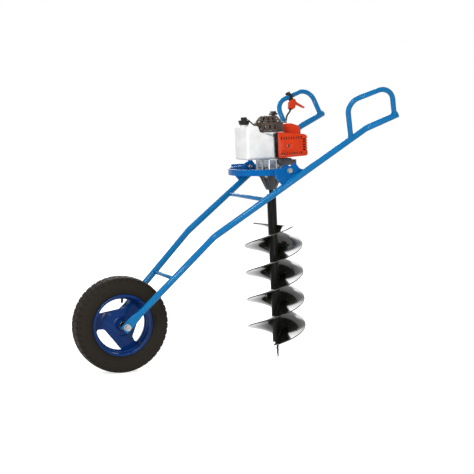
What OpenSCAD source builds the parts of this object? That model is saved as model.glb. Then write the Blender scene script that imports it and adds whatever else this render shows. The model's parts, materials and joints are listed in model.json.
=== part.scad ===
// Earth auger on a one-wheel barrow frame, in millimetres.
// X runs from the wheel to the handles, Y from the operator's left to the right, Z up.
// The origin is on the ground, half way between the tyre's front and the handle ends.
// The drill head is drawn upright about the auger's axis and then leaned about its pivot bolts.

/* [Wheel] */
// Outside diameter of the tyre
tyre_d = 396; // [360:1:420]
// Width of the tyre over its sidewalls
tyre_w = 96; // [84:1:110]
// Width of the tread
tread_w = 74; // [60:1:82]
// Thickness of the tyre's wall
tyre_wall = 9; // [6:0.5:11]
// Number of tread notches on each shoulder
lug_count = 30; // [16:1:36]
// Width of a tread notch
lug_gap = 9; // [4:0.5:14]
// Depth of a tread notch
lug_depth = 4; // [2:0.5:7]
// Outside diameter of the rim's flanges
rim_d = 254; // [230:1:270]
// Width of the rim over its flanges
rim_w = 76; // [66:1:82]
// Height of a rim flange above the bead seat
flange_h = 8; // [5:0.5:12]
// Depth of the rim's well below the bead seat
well_depth = 7; // [4:0.5:10]
// Sheet thickness of the rim and the disc
sheet_t = 2.6; // [2:0.1:4]
// How far the middle of the disc stands out from its edge
disc_dish = 20; // [8:1:30]
// Radius of the disc's domed middle
disc_dome_r = 46; // [36:1:60]
// Number of windows in the disc
window_count = 3; // [2:1:4]
// Angle that one window spans
window_sweep = 82; // [40:1:86]
// Width of the disc's band outside the windows
window_band = 5; // [3:0.5:12]
// Radius of a window's inner corner
window_inner_r = 73; // [62:1:84]
// Angle at which the first window begins
window_start = 69; // [0:1:119]
// Outside diameter of the hub
hub_d = 44; // [40:1:60]
// Length of the hub
hub_len = 92; // [70:1:110]
// Outside diameter of a hub bearing
bearing_d = 35; // [30:1:38]
// Width of a hub bearing
bearing_w = 11; // [8:0.5:14]
// Diameter of the axle bolt
axle_d = 15; // [12:0.5:18]

/* [Frame] */
// Outside diameter of the rail tube
rail_d = 27; // [24:0.5:32]
// Wall of the rail tube
rail_wall = 2.3; // [1.5:0.1:4]
// Bend radius of the rails
rail_bend_r = 120; // [80:5:200]
// Distance of a rail's flattened end from the middle at the axle
axle_half = 85; // [76:1:100]
// Lower bend, distance behind the axle
low_bend_x = 357; // [330:1:390]
// Lower bend, distance from the middle
low_bend_y = 139; // [125:1:150]
// Lower bend, height above the ground
low_bend_z = 552; // [530:1:575]
// Upper bend, distance behind the axle
top_bend_x = 973; // [940:1:1000]
// Upper bend, height above the ground
top_bend_z = 990; // [970:1:1010]
// Rail end, distance behind the axle
handle_x = 1106; // [1080:1:1140]
// Rail end, distance from the middle
handle_y = 324; // [300:1:345]
// Rail end, height above the ground
handle_z = 1049; // [1030:1:1080]
// Length of a rail's flattened end behind the axle
tab_len = 40; // [30:1:50]
// Length of the flattened end ahead of the axle
tab_end = 18; // [14:1:24]
// Width of the flattened end
tab_w = 38; // [32:1:44]
// Thickness of the flattened end
tab_t = 6; // [4:0.5:9]
// Length over which the tube turns into the flattened end
tab_neck = 35; // [25:1:60]
// Diameter of the cross bars
bar_d = 17; // [14:0.5:22]
// Lower cross bar, distance along the rail from the axle
low_bar_at = 272; // [230:1:300]
// Upper cross bar, distance along the rail from the lower bend
top_bar_at = 262; // [230:1:275]

/* [Handles] */
// Diameter of the handle loop's tube
loop_d = 22; // [18:0.5:26]
// Bend radius of the handle loop
loop_bend_r = 57; // [40:1:60]
// Front foot, distance along the rail ahead of the upper bend
loop_front = 75; // [50:1:110]
// Rear foot, distance along the rail behind the upper bend
loop_back = 134; // [115:1:136]
// Front corner, distance along the line between the feet
loop_front_x = 38; // [10:1:60]
// Front corner, height above the line between the feet
loop_front_h = 159; // [130:1:180]
// Rear corner, distance along the line between the feet
loop_back_x = 238; // [215:1:260]
// Rear corner, height above the line between the feet
loop_back_h = 134; // [115:1:160]
// Outward tilt of the loops
loop_splay = 15; // [0:1:25]

/* [Cradle] */
// Pivot bolts, distance behind the axle
pivot_x = 661; // [650:1:672]
// Pivot bolts, height above the ground
pivot_z = 820; // [812:1:830]
// Middle of a bracket plate from the middle of the frame
bracket_y = 214; // [206:1:220]
// Thickness of a bracket plate
bracket_t = 6; // [4:0.5:10]
// Bracket plate ahead of the pivot
bracket_front = 68; // [50:1:80]
// Bracket plate above the pivot at its front
bracket_top = 9; // [8:1:20]
// Height of the bracket's raised corner above the pivot
bracket_peak = 33; // [24:1:44]
// Bracket plate below the pivot at its front
bracket_drop = 27; // [18:1:36]
// Diameter of the pivot bolts
pivot_d = 12; // [10:0.5:14]
// Lean of the drill head in its resting place
lean = 2.8; // [0:0.1:6]
// Auger axis behind the pivot bolts
head_offset = 18; // [10:1:24]
// Outside radius of the cradle hoop
hoop_r = 180; // [170:1:184]
// Thickness of the hoop's flat bar
hoop_t = 6; // [4:0.5:8]
// Height of the hoop's flat bar
hoop_h = 26; // [20:1:32]
// Middle of the hoop below the pivot
hoop_drop = 7; // [4:1:10]
// Radius of a pivot ear
ear_r = 22; // [18:1:26]
// Thickness of a pivot ear outside the hoop
ear_t = 6; // [4:0.5:10]
// Radius of a pivot boss
boss_r = 15; // [11:0.5:18]
// Thickness of the cradle plate
plate_t = 6; // [4:0.5:8]
// Cradle plate ahead of the auger axis
plate_front = 100; // [80:1:130]
// Cradle plate behind the auger axis
plate_back = 40; // [30:1:60]

/* [Gearbox and clutch] */
// Radius of the gearbox and clutch flanges
flange_r = 62; // [58:1:72]
// Thickness of the gearbox and clutch flanges
flange_t = 8; // [6:0.5:10]
// Radius of the flange bolts' circle
flange_bolt_r = 53; // [49:0.5:54]
// Diameter of the flange bolts
flange_bolt_d = 8; // [6:0.5:8]
// Bottom of the gearbox below the pivot
gearbox_low = 92; // [84:1:104]
// Radius of the gearbox cone at its top
cone_top_r = 40; // [36:1:44]
// Radius of the gearbox cone at its bottom
cone_low_r = 22; // [20:1:26]
// Number of ribs on the gearbox cone
cone_ribs = 8; // [4:1:12]
// Height of the ribs above the cone
cone_rib_h = 7; // [3:0.5:9]
// Thickness of the cast ribs
rib_t = 5; // [3:0.5:7]
// Radius of the clutch housing
clutch_r = 55; // [50:1:58]
// Number of ribs on the clutch housing
clutch_ribs = 12; // [8:4:16]
// Top of the clutch housing above the pivot
clutch_top = 40; // [36:1:44]

/* [Auger] */
// Diameter of the auger
auger_d = 250; // [150:5:260]
// Diameter of the auger's tube
auger_tube_d = 40; // [34:1:48]
// Wall of the auger's tube
auger_tube_wall = 4; // [3:0.5:6]
// Top of the auger's tube below the pivot
auger_tube_top = 112; // [106:1:120]
// Length of the auger's tube
auger_tube_len = 640; // [600:5:640]
// Number of flights, set evenly round the tube
flight_starts = 2; // [1:1:3]
// Top of the flights below the top of the tube
flight_top = 128; // [80:1:140]
// Distance from flight to flight along the tube
flight_pitch = 117; // [90:1:140]
// Thickness of a flight
flight_t = 5; // [3:0.5:8]
// Length of the pilot point
pilot_len = 69.5; // [50:0.5:69.5]
// Diameter of the pilot point
pilot_d = 12; // [8:0.5:16]
// Diameter of the output shaft
shaft_d = 20; // [16:0.5:24]
// Length of the output shaft inside the auger's tube
shaft_reach = 70; // [50:1:90]
// Diameter of the drive pin
pin_d = 8; // [6:0.5:10]

/* [Engine] */
// Radius of the crankcase
crankcase_r = 46; // [42:1:48]
// Height of the crankcase
crankcase_h = 113; // [105:1:120]
// Radius of the fan housing
fan_r = 62; // [60:1:66]
// Wall of the fan housing and the starter dome
fan_wall = 3; // [2:0.5:4]
// Height of the fan housing
fan_h = 37; // [32:1:42]
// Height of the starter dome
dome_h = 31; // [26:1:36]
// Radius of the starter dome's flat top
dome_top_r = 37; // [32:1:42]
// Number of vents round the starter dome
dome_vents = 14; // [8:1:18]
// Starter grip behind the crank's axis
grip_x = 24; // [18:1:28]
// Length of the starter grip
grip_len = 34; // [28:1:44]
// Height of the starter grip
grip_h = 16; // [13:0.5:20]
// Number of cooling fins
fin_count = 8; // [5:1:9]
// Distance from fin to fin
fin_pitch = 8.5; // [8:0.5:10]
// Thickness of a fin
fin_t = 3; // [2:0.5:4]
// Half width of the fins
fin_half = 44; // [38:1:44]
// Radius of the cylinder barrel
barrel_r = 33; // [28:1:36]

/* [Fuel tank] */
// Front of the tank ahead of the crank's axis
tank_front = 135; // [125:1:145]
// Width of the tank
tank_w = 130; // [124:1:144]
// Height of the tank's tall part
tank_h = 146; // [136:1:156]
// Height of the tank at its rear end
tank_low_h = 90; // [80:1:98]
// Radius of the tank's upright edges
tank_edge = 14; // [8:1:18]
// Fuel cap ahead of the crank's axis
cap_x = 114; // [110:1:116]
// Radius of the filler neck
neck_r = 17; // [14:0.5:18]
// Radius of the fuel cap
cap_r = 24; // [22:0.5:26]

/* [Muffler and covers] */
// Front edge of the muffler guard behind the crank's axis
guard_x = 1; // [0:1:10]
// Length of the muffler guard
guard_len = 137; // [128:1:142]
// Outer face of the muffler guard from the middle
guard_y = 84; // [82:1:100]
// Height of the muffler guard at its front
guard_h = 109; // [104:1:110]
// Height of the muffler guard at its rear
guard_rear_h = 92; // [90:1:98]
// Sheet thickness of the guard and the cover
cover_t = 2; // [1.5:0.1:3]
// Number of slots in a row of the guard
slot_count = 9; // [5:1:10]
// Width of a guard slot
slot_w = 5; // [3:0.5:6]
// Height of a guard slot
slot_h = 12; // [8:0.5:14]
// Room between the plug cap and the inside of the cylinder cover
cover_room = 4.5; // [3:0.5:13]
// Top of the cylinder cover above the crankcase's foot
cover_h = 143; // [138:1:150]
// Far side of the cylinder cover from the middle
cover_y = 64; // [60:1:66]

/* [Carburettor] */
// Carburettor behind the crank's axis
carb_x = 80; // [76:1:84]
// Width of the carburettor
carb_w = 36; // [32:1:40]
// Length of the carburettor
carb_len = 28; // [24:1:32]
// Length of the intake spacer
spacer_len = 18; // [16:1:22]
// Length of the air cleaner cover
cleaner_len = 30; // [24:1:36]
// Half size of the air cleaner
cleaner_half = 36; // [32:1:40]
// Radius of the primer bulb
primer_r = 9.5; // [8:0.5:10]

/* [Throttle] */
// Throttle clamp behind the loop's front corner
throttle_at = 82; // [74:1:96]
// Length of the throttle lever
lever_len = 58; // [45:1:62]
// Width of the throttle lever
lever_w = 10; // [8:0.5:14]
// Diameter of the throttle cable
cable_d = 8; // [5:0.5:9]

/* [Hidden] */
$fn = 48;

// Radial clearance of a shaft in its hole
fit = 0.05;
// Gap between pieces that are welded or seated together
seat = 0.05;
// Gap between pieces that move past each other
air = 0.3;
// How far a cut runs past the face that it opens
past = 1;

frame_blue = "#1474b8";
rim_blue = "#12356b";
steel = "#b9bcc0";
dark_steel = "#55565a";
black = "#22231f";
cast_grey = "#6c6d70";
silver = "#c3c6c8";
orange = "#d9481c";
tank_white = "#ececec";
rubber = "#2a2722";
starter_brown = "#59514c";

// Wheel
tyre_r = tyre_d / 2;
rim_r = rim_d / 2;
bead_r = rim_r - flange_h;
well_r = bead_r - well_depth;
disc_r = well_r - sheet_t - seat;
bead_half = rim_w / 2 - sheet_t - air;
side_r = (rim_r + tyre_r) / 2;
hub_half = hub_len / 2;

// Rails, drawn from the axle to the handle end
rail_r = rail_d / 2;
handle_dir = [
    handle_x - top_bend_x,
    (handle_y - low_bend_y) * (handle_x - top_bend_x) / (handle_x - low_bend_x),
    handle_z - top_bend_z];
handle_reach = handle_x + rail_r * sqrt(1 - pow(handle_dir[0] / norm(handle_dir), 2));
axle_x = -(handle_reach - tyre_r) / 2;
top_bend_y = handle_y - handle_dir[1];
function rail_line(side) = [
    [axle_x, side * axle_half, tyre_r],
    [axle_x + low_bend_x, side * low_bend_y, low_bend_z],
    [axle_x + top_bend_x, side * top_bend_y, top_bend_z],
    [axle_x + handle_x, side * handle_y, handle_z]];
function rail_height(x) =
    low_bend_z + (x - low_bend_x) * (top_bend_z - low_bend_z) / (top_bend_x - low_bend_x);
tab_outer = axle_half + tab_t / 2;
tab_inner = axle_half - tab_t / 2;

// Handle loops, as a corner line and the frame that it lies in
loop_r = loop_d / 2;
function loop_foot(side, front) = let (p = rail_line(side))
    front ? p[2] - unit(p[2] - p[1]) * loop_front : p[2] + unit(p[3] - p[2]) * loop_back;
function loop_along(side) = unit(loop_foot(side, false) - loop_foot(side, true));
function loop_up(side) = let (
    along = loop_along(side),
    out = unit([0, side, 0] - along * (along * [0, side, 0])),
    rise = cross(along, out) * side)
    rise * cos(loop_splay) + out * sin(loop_splay);
function loop_point(side, x, h) = loop_foot(side, true) + loop_along(side) * x + loop_up(side) * h;
function loop_line(side) = [
    loop_foot(side, true),
    loop_point(side, loop_front_x, loop_front_h),
    loop_point(side, loop_back_x, loop_back_h),
    loop_foot(side, false)];

// Pivot
pivot = [axle_x + pivot_x, 0, pivot_z];
pivot_r = pivot_d / 2;
bracket_in = bracket_y - bracket_t / 2;
bracket_out = bracket_y + bracket_t / 2;
washer_t = 2.5;
washer_r = pivot_d * 0.87;
bolt_flats = pivot_d * 1.5;
bolt_head_h = pivot_d * 0.64;
nut_h = pivot_d * 0.8;
nut_face = sqrt(pow(hoop_r - hoop_t, 2) - pow(head_offset + bolt_flats / sqrt(3), 2)) - air;
axle_flats = axle_d * 1.55;
axle_nut_h = axle_d * 0.8;
axle_washer_r = axle_d * 0.95;

// Heights in the drill head, from the pivot up
hoop_low = -hoop_drop - hoop_h / 2;
plate_low = hoop_low;
plate_top = plate_low + plate_t;
gear_flange_low = plate_low - flange_t;
clutch_flange_top = plate_top + flange_t;
deck = clutch_top;
crank_top = deck + crankcase_h;
crank_mid = deck + 56;
fan_top = crank_top + fan_h;
dome_top = fan_top + dome_h;
tank_top = deck + tank_h;
tube_low = -auger_tube_top - auger_tube_len;
tip_low = tube_low - pilot_len;

// Engine, from the crank's axis back
cyl_face = crankcase_r + 1;
fin_start = cyl_face + 9;
cyl_end = fin_start + (fin_count - 1) * fin_pitch + fin_t + 3;
port_y = 52;
port_half = 15;
port_r = 7;
plug_hex = cyl_end + 8;
plug_end = plug_hex + 14;
cap_wall = 4;
cover_end = plug_end + cap_wall + cover_room + cover_t;
muffler_back = port_y + seat;
muffler_face = guard_y - cover_t - 8;
carb_y = port_y + spacer_len;
cleaner_y = carb_y + carb_len;
cleaner_plate = 6;
crank_r = 7;
carb_half = carb_w / 2;

// Throttle, in the frame of the right loop's top tube
clamp_r = loop_r + 4;
clamp_half = 8;
ear_half = 8.5;
ear_top = clamp_r + 6.5;
body_half = 13;
body_low = -clamp_r - 44;
lever_pivot = [6, -clamp_r - 16];
lever_rest = -50;
cable_turn = 45;
cable_exit = [-26, 0, body_low + 9];

// A point of the drill head, and a point of the throttle, in the row's own frame
function head_to_row(p) = let (q = p + [head_offset, 0, 0])
    pivot + [q[0] * cos(lean) - q[2] * sin(lean), q[1], q[0] * sin(lean) + q[2] * cos(lean)];
function grip_axes() = let (p = loop_line(1), x = unit(p[2] - p[1]), y = unit(cross(loop_up(1), x)))
    [x, y, cross(x, y), p[1] + x * throttle_at];
function grip_to_row(q) = let (g = grip_axes()) g[0] * q[0] + g[1] * q[1] + g[2] * q[2] + g[3];

// Route of the throttle cable: out of the throttle's body, across to the engine and down into the carburettor
cable_way = [-sin(cable_turn), 0, -cos(cable_turn)];
cable_foot = [carb_x, carb_y + carb_len / 2, crank_mid + carb_half];
cable_route = concat(
    [for (d = [-7, 0, 8, 16]) grip_to_row(cable_exit + cable_way * d)],
    [for (p = [[908, 299, 1038], [894, 278, 1021], [873, 246, 1011], [842, 203, 1006], [810, 159, 1006],
        [781, 121, 1004]]) p + [axle_x, 0, 0]],
    [for (d = [44, 30, 14, 6.5]) head_to_row(cable_foot + [0, 0, d])]);
// Route of the fuel hose, measured in the drill head
hose_r = 3;
hose_start = [-92, 44];
nipple = [carb_x - carb_half - 3, carb_y + 13, crank_mid + 14];
hose_route = concat(
    [for (z = [-3, 4, 12]) [hose_start[0], hose_start[1], tank_top + z]],
    [[-87, 52, 207], [-76, 63, 210], [-58, 75, 203], [-34, 84, 186], [-10, 89, 163], [14, 90, 140],
        [34, 86, 122]],
    [for (d = [10, 5, 0.1]) nipple - [d, 0, 0]]);

function unit(v) = v / norm(v);
function reversed(list) = [for (i = [len(list) - 1 : -1 : 0]) list[i]];
function flipped(list) = [for (i = [len(list) - 1 : -1 : 0]) [list[i][0], -list[i][1], list[i][2]]];

// Outline through corners [x, y, radius], each rounded with an arc
function corner_arc(a, p, b, r, steps) = let (
    u = unit(a - p),
    v = unit(b - p),
    half = acos(u * v) / 2,
    centre = p + unit(u + v) * r / sin(half),
    first = p + u * r / tan(half) - centre,
    last = p + v * r / tan(half) - centre,
    from = atan2(first[1], first[0]),
    sweep = (atan2(last[1], last[0]) - from + 540) % 360 - 180)
    [for (k = [0 : steps]) centre + r * [cos(from + sweep * k / steps), sin(from + sweep * k / steps)]];
function flat(p) = [p[0], p[1]];
function rounded(corners, steps = 5) = [for (i = [0 : len(corners) - 1]) let (
    p = corners[i],
    a = corners[(i + len(corners) - 1) % len(corners)],
    b = corners[(i + 1) % len(corners)])
    each p[2] > 0 ? corner_arc(flat(a), flat(p), flat(b), p[2], steps) : [flat(p)]];
function box_outline(x0, y0, x1, y1, r) = rounded([[x0, y0, r], [x1, y0, r], [x1, y1, r], [x0, y1, r]]);

// Smooth line through points, with a few steps between each two
function smooth(p, steps) = [for (i = [0 : len(p) - 2], k = [0 : steps - 1])
    let (t = k / steps, a = p[max(i - 1, 0)], b = p[i], c = p[i + 1], d = p[min(i + 2, len(p) - 1)])
    0.5 * (2 * b + (c - a) * t + (2 * a - 5 * b + 4 * c - d) * t * t + (3 * b - a - 3 * c + d) * t * t * t),
    p[len(p) - 1]];

module between(a, b, r) {
    d = b - a;
    translate(a) rotate([0, acos(d[2] / norm(d)), atan2(d[1], d[0])]) cylinder(h = norm(d), r = r);
}

module tube_bend(a, b, c, bend_r, r) {
    u = unit(b - a);
    v = unit(c - b);
    turn = acos(u * v);
    n = unit(cross(u, v));
    inward = cross(n, u);
    centre = b - u * bend_r * tan(turn / 2) + inward * bend_r;
    multmatrix([
        [-inward[0], u[0], n[0], centre[0]],
        [-inward[1], u[1], n[1], centre[1]],
        [-inward[2], u[2], n[2], centre[2]],
        [0, 0, 0, 1]])
        rotate_extrude(angle = turn) translate([bend_r, 0]) circle(r);
}

// Round bar through corner points, each inner corner bent to one radius
// The bends are drawn a hair thinner, and the straight runs lap them, so that every joint is clean
module bent_bar(p, bend_r, r) {
    last = len(p) - 1;
    function cut(i) = i == 0 || i == last ? 0
        : bend_r * tan(acos(unit(p[i] - p[i - 1]) * unit(p[i + 1] - p[i])) / 2) - bend_lap;
    for (i = [0 : last - 1]) {
        u = unit(p[i + 1] - p[i]);
        between(p[i] + u * cut(i), p[i + 1] - u * cut(i + 1), r);
    }
    for (i = [1 : last - 1]) tube_bend(p[i - 1], p[i], p[i + 1], bend_r, r - bend_step);
}
bend_lap = 0.5;
bend_step = 0.03;

// Flexible line of 8 sides swept along points
module swept_line(p, r) {
    sides = 8;
    count = len(p);
    function ahead(i) = unit(p[min(i + 1, count - 1)] - p[max(i - 1, 0)]);
    function across(i) = unit(cross(ahead(i), [0.3, -0.6, 0.2]));
    rings = [for (i = [0 : count - 1], k = [0 : sides - 1])
        let (a = across(i), b = cross(ahead(i), a), turn = 360 * k / sides)
        p[i] + r * (a * cos(turn) + b * sin(turn))];
    skin = [for (i = [0 : count - 2], k = [0 : sides - 1], half = [0, 1])
        let (a = i * sides + k, b = i * sides + (k + 1) % sides)
        half == 0 ? [a, b, a + sides] : [b, b + sides, a + sides]];
    ends = [for (k = [1 : sides - 2]) each [[0, k + 1, k],
        [(count - 1) * sides, (count - 1) * sides + k, (count - 1) * sides + k + 1]]];
    polyhedron(rings, [for (f = concat(skin, ends)) reversed(f)]);
}

module along_y(a, b, r) translate([0, a, 0]) rotate([-90, 0, 0]) cylinder(h = b - a, r = r);
module along_x(a, b, r) translate([a, 0, 0]) rotate([0, 90, 0]) cylinder(h = b - a, r = r);
module hex_y(a, b, flats) translate([0, a, 0]) rotate([-90, 0, 0])
    cylinder(h = b - a, r = flats / sqrt(3), $fn = 6);
module hex_z(a, b, flats) translate([0, 0, a]) cylinder(h = b - a, r = flats / sqrt(3), $fn = 6);
module tube_y(a, b, r, bore) difference() {
    along_y(a, b, r);
    along_y(a - past, b + past, bore);
}
module block(low, high) translate(low) cube(high - low);
// Outline in X and Z, drawn out along Y
module slab_y(points, a, b) translate([0, b, 0]) rotate([90, 0, 0]) linear_extrude(b - a) polygon(points);
module around_wheel() translate([axle_x, 0, tyre_r]) rotate([90, 0, 0]) rotate_extrude() children();
module at_axle() translate([axle_x, 0, tyre_r]) children();
module at_pivot() translate(pivot) children();
module in_head() at_pivot() rotate([0, -lean, 0]) translate([head_offset, 0, 0]) children();
module both_sides() for (side = [0, 1]) mirror([0, side, 0]) children();

// Frame of the right loop's top tube, at the throttle clamp: X back along the tube, Z up
module in_grip() {
    g = grip_axes();
    multmatrix([
        [g[0][0], g[1][0], g[2][0], g[3][0]],
        [g[0][1], g[1][1], g[2][1], g[3][1]],
        [g[0][2], g[1][2], g[2][2], g[3][2]],
        [0, 0, 0, 1]])
        children();
}

// Wheel

module tyre() {
    outer = [
        [bead_r + seat, bead_half, 0], [rim_r + 2, bead_half, 3], [rim_r + 8, tyre_w / 2 - 5, 8],
        [side_r - 10, tyre_w / 2, 22], [side_r + 12, tyre_w / 2, 16], [tyre_r - 9, tread_w / 2 + 5, 6],
        [tyre_r - 2.5, tread_w / 2 - 3, 4], [tyre_r, 0, 0]];
    inner = [
        [bead_r + seat, bead_half - tyre_wall, 0], [rim_r + 6, bead_half - tyre_wall, 4],
        [side_r - 8, tyre_w / 2 - tyre_wall, 16], [side_r + 10, tyre_w / 2 - tyre_wall, 12],
        [tyre_r - tyre_wall - 6, tread_w / 2 - 6, 6], [tyre_r - tyre_wall, 0, 0]];
    ring = concat(outer, [for (p = flipped(outer)) if (p[1] < 0) p], inner_back(inner));
    color(rubber) difference() {
        around_wheel() polygon(rounded(ring));
        tread_notches();
    }
}
function inner_back(inner) = concat([for (i = [0 : len(inner) - 1]) [inner[i][0], -inner[i][1], inner[i][2]]],
    [for (p = reversed(inner)) if (p[1] > 0) p]);
module tread_notches() for (k = [0 : lug_count - 1], side = [-1, 1])
    at_axle() rotate([0, 360 * (k + side / 4) / lug_count, 0])
        translate([tyre_r - lug_depth, side > 0 ? tread_w / 4 : -tyre_w / 2, -lug_gap / 2])
            cube([lug_depth + past, tyre_w / 2 - tread_w / 4, lug_gap]);

// The inner tube with its valve, which stands through the rim into a window of the disc
// It lies along the inside of the tyre, and its seam is open on the rim's side
module inner_tube() {
    function wall(t) = [
        [bead_r + 2 + t, 3, 0], [bead_r + 2 + t, bead_half - tyre_wall - air - t, 4],
        [rim_r + 7, bead_half - tyre_wall - air - t, 4], [side_r - 8, tyre_w / 2 - tyre_wall - air - t, 14],
        [side_r + 9, tyre_w / 2 - tyre_wall - air - t, 12],
        [tyre_r - tyre_wall - 7 - t, tread_w / 2 - 7 - t, 6], [tyre_r - tyre_wall - air - t, 0, 0]];
    outer = wall(0);
    ring = concat(outer, [for (p = flipped(outer)) if (p[1] < 0) p], inner_back(wall(2)));
    color(rubber) union() {
        around_wheel() polygon(rounded(ring));
        at_axle() rotate([0, -valve_angle, 0]) translate([0, valve_y, 0])
            along_x(valve_low, bead_r + 4, valve_r);
    }
}
valve_angle = window_start + 14;
valve_r = 5;
valve_y = 9;
valve_low = well_r - 26;

module rim() {
    half = [
        [rim_r, rim_w / 2, 0], [rim_r, rim_w / 2 - sheet_t, 0], [bead_r, rim_w / 2 - sheet_t, 0],
        [bead_r - 0.5, rim_w / 2 - 16, 0], [well_r, rim_w / 2 - 22, 0]];
    under = [
        [well_r - sheet_t, rim_w / 2 - 23, 0], [bead_r - 0.5 - sheet_t, rim_w / 2 - 17, 0],
        [bead_r - sheet_t, rim_w / 2, 0]];
    color(rim_blue) difference() {
        around_wheel() polygon(rounded(concat(half, flipped(half), flipped(under), under)));
        at_axle() rotate([0, -valve_angle, 0]) translate([0, valve_y, 0])
            along_x(valve_low, bead_r + past, valve_r + seat);
    }
}

module wheel_disc() {
    face = [
        [disc_r, sheet_t], [window_inner_r + 14, sheet_t], [disc_dome_r + 6, disc_dish * 0.55],
        [disc_dome_r - 8, disc_dish], [hub_d / 2 + seat, disc_dish]];
    back = [for (p = reversed(face)) p - [0, sheet_t * 1.3]];
    window_r = disc_r - window_band;
    // The window's blunt end and its inner corner are rounded, and its far end runs to a point
    function at(angle) = window_r * [cos(angle), sin(angle)];
    blunt = 9;
    inner = window_inner_r * [cos(4), sin(4)];
    arc = [for (k = [0 : 10]) at(blunt + (window_sweep - blunt) * k / 10)];
    window = concat(arc, corner_arc(at(window_sweep), inner, at(0), 14, 6),
        corner_arc(inner, at(0), at(blunt), 9, 6));
    color(rim_blue) difference() {
        around_wheel() polygon(concat(face, back));
        for (k = [0 : window_count - 1])
            at_axle() rotate([0, -window_start - 360 * k / window_count, 0])
                slab_y(window, -disc_dish - tyre_w, tyre_w);
    }
}

module hub() color(rim_blue) difference() {
    at_axle() along_y(-hub_half, hub_half, hub_d / 2);
    at_axle() along_y(-hub_half - past, hub_half + past, bearing_d / 2 - 3);
    at_axle() both_sides() along_y(hub_half - bearing_w, hub_half + past, bearing_d / 2 + seat);
}

module hub_bearings() color(steel) at_axle() both_sides()
    tube_y(hub_half - bearing_w + seat, hub_half, bearing_d / 2, axle_d / 2 + fit);

// Frame

module rail(side) {
    p = rail_line(side);
    u = unit(p[1] - p[0]);
    tube_start = p[0] + u * (tab_len + tab_neck);
    pitch = atan2(u[2], u[0]);
    color(frame_blue) difference() {
        union() {
            bent_bar([tube_start, p[1], p[2], p[3]], rail_bend_r, rail_r);
            hull() {
                between(tube_start + u, tube_start + u * 3, rail_r - neck_step, $fn = 32);
                translate(p[0]) rotate([0, -pitch, 0]) block(
                    [tab_len - 3, neck_step - tab_t / 2, neck_step - tab_w / 2],
                    [tab_len - 1, tab_t / 2 - neck_step, tab_w / 2 - neck_step]);
            }
            translate(p[0]) rotate([0, -pitch, 0])
                block([-tab_end, -tab_t / 2, -tab_w / 2], [tab_len, tab_t / 2, tab_w / 2]);
        }
        bent_bar([tube_start + u * rail_d / 2, p[1], p[2], p[3] + unit(p[3] - p[2]) * past], rail_bend_r,
            rail_r - rail_wall);
        translate(p[0]) along_y(-tab_t, tab_t, axle_d / 2 + fit);
    }
}
// The neck stays this far inside the tube and the flattened end that it joins
neck_step = 0.3;
module left_rail() rail(-1);
module right_rail() rail(1);

// The straight runs of a rail, to cut what is welded on to it
module rail_cut(side, first, last) {
    p = rail_line(side);
    for (i = [first : last]) between(p[i], p[i + 1] + unit(p[i + 1] - p[i]) * rail_d, rail_r + seat);
}

// Everything below a plane that lies along the top of a rail's run, to cut the foot of a loop flat
module foot_cut(foot, along, leg) {
    n = unit(leg - along * (leg * along));
    b = cross(n, along);
    reach = loop_d * 2;
    multmatrix([
        [along[0], b[0], n[0], foot[0]],
        [along[1], b[1], n[1], foot[1]],
        [along[2], b[2], n[2], foot[2]],
        [0, 0, 0, 1]])
        block([-reach, -reach, -reach], [reach, reach, rail_r + seat]);
}

module handle_loop(side) {
    p = loop_line(side);
    rail = rail_line(side);
    color(frame_blue) difference() {
        bent_bar(p, loop_bend_r, loop_r);
        foot_cut(p[0], unit(rail[2] - rail[1]), unit(p[1] - p[0]));
        foot_cut(p[3], unit(rail[3] - rail[2]), unit(p[2] - p[3]));
    }
}
module left_handle_loop() handle_loop(-1);
module right_handle_loop() handle_loop(1);

module cross_bar(run, along) {
    near = rail_line(-1);
    far = rail_line(1);
    color(frame_blue) difference() {
        between(near[run] + unit(near[run + 1] - near[run]) * along,
            far[run] + unit(far[run + 1] - far[run]) * along, bar_d / 2);
        rail_cut(-1, run, run);
        rail_cut(1, run, run);
    }
}
module lower_cross_bar() cross_bar(0, low_bar_at);
module upper_cross_bar() cross_bar(1, top_bar_at);

module bracket(side) {
    // Height of the rail's line below the pivot, at a distance behind it
    function rail_at(x) = rail_height(pivot_x + x) - pivot_z;
    back = 75;
    foot = -24;
    outline = rounded([
        [-bracket_front, bracket_top, 4], [-6, bracket_top + 2, 8], [bracket_peak - 8, bracket_peak, 3],
        [bracket_peak + 13, 8, 14], [back, rail_at(back), 0], [foot, rail_at(foot), 0],
        [4 - bracket_front, -bracket_drop, 6]]);
    color(frame_blue) difference() {
        at_pivot() slab_y(outline, side * bracket_y - bracket_t / 2, side * bracket_y + bracket_t / 2);
        at_pivot() along_y(-bracket_out - past, bracket_out + past, pivot_r + fit);
        rail_cut(side, 1, 1);
    }
}
module left_bracket() bracket(-1);
module right_bracket() bracket(1);

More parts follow.
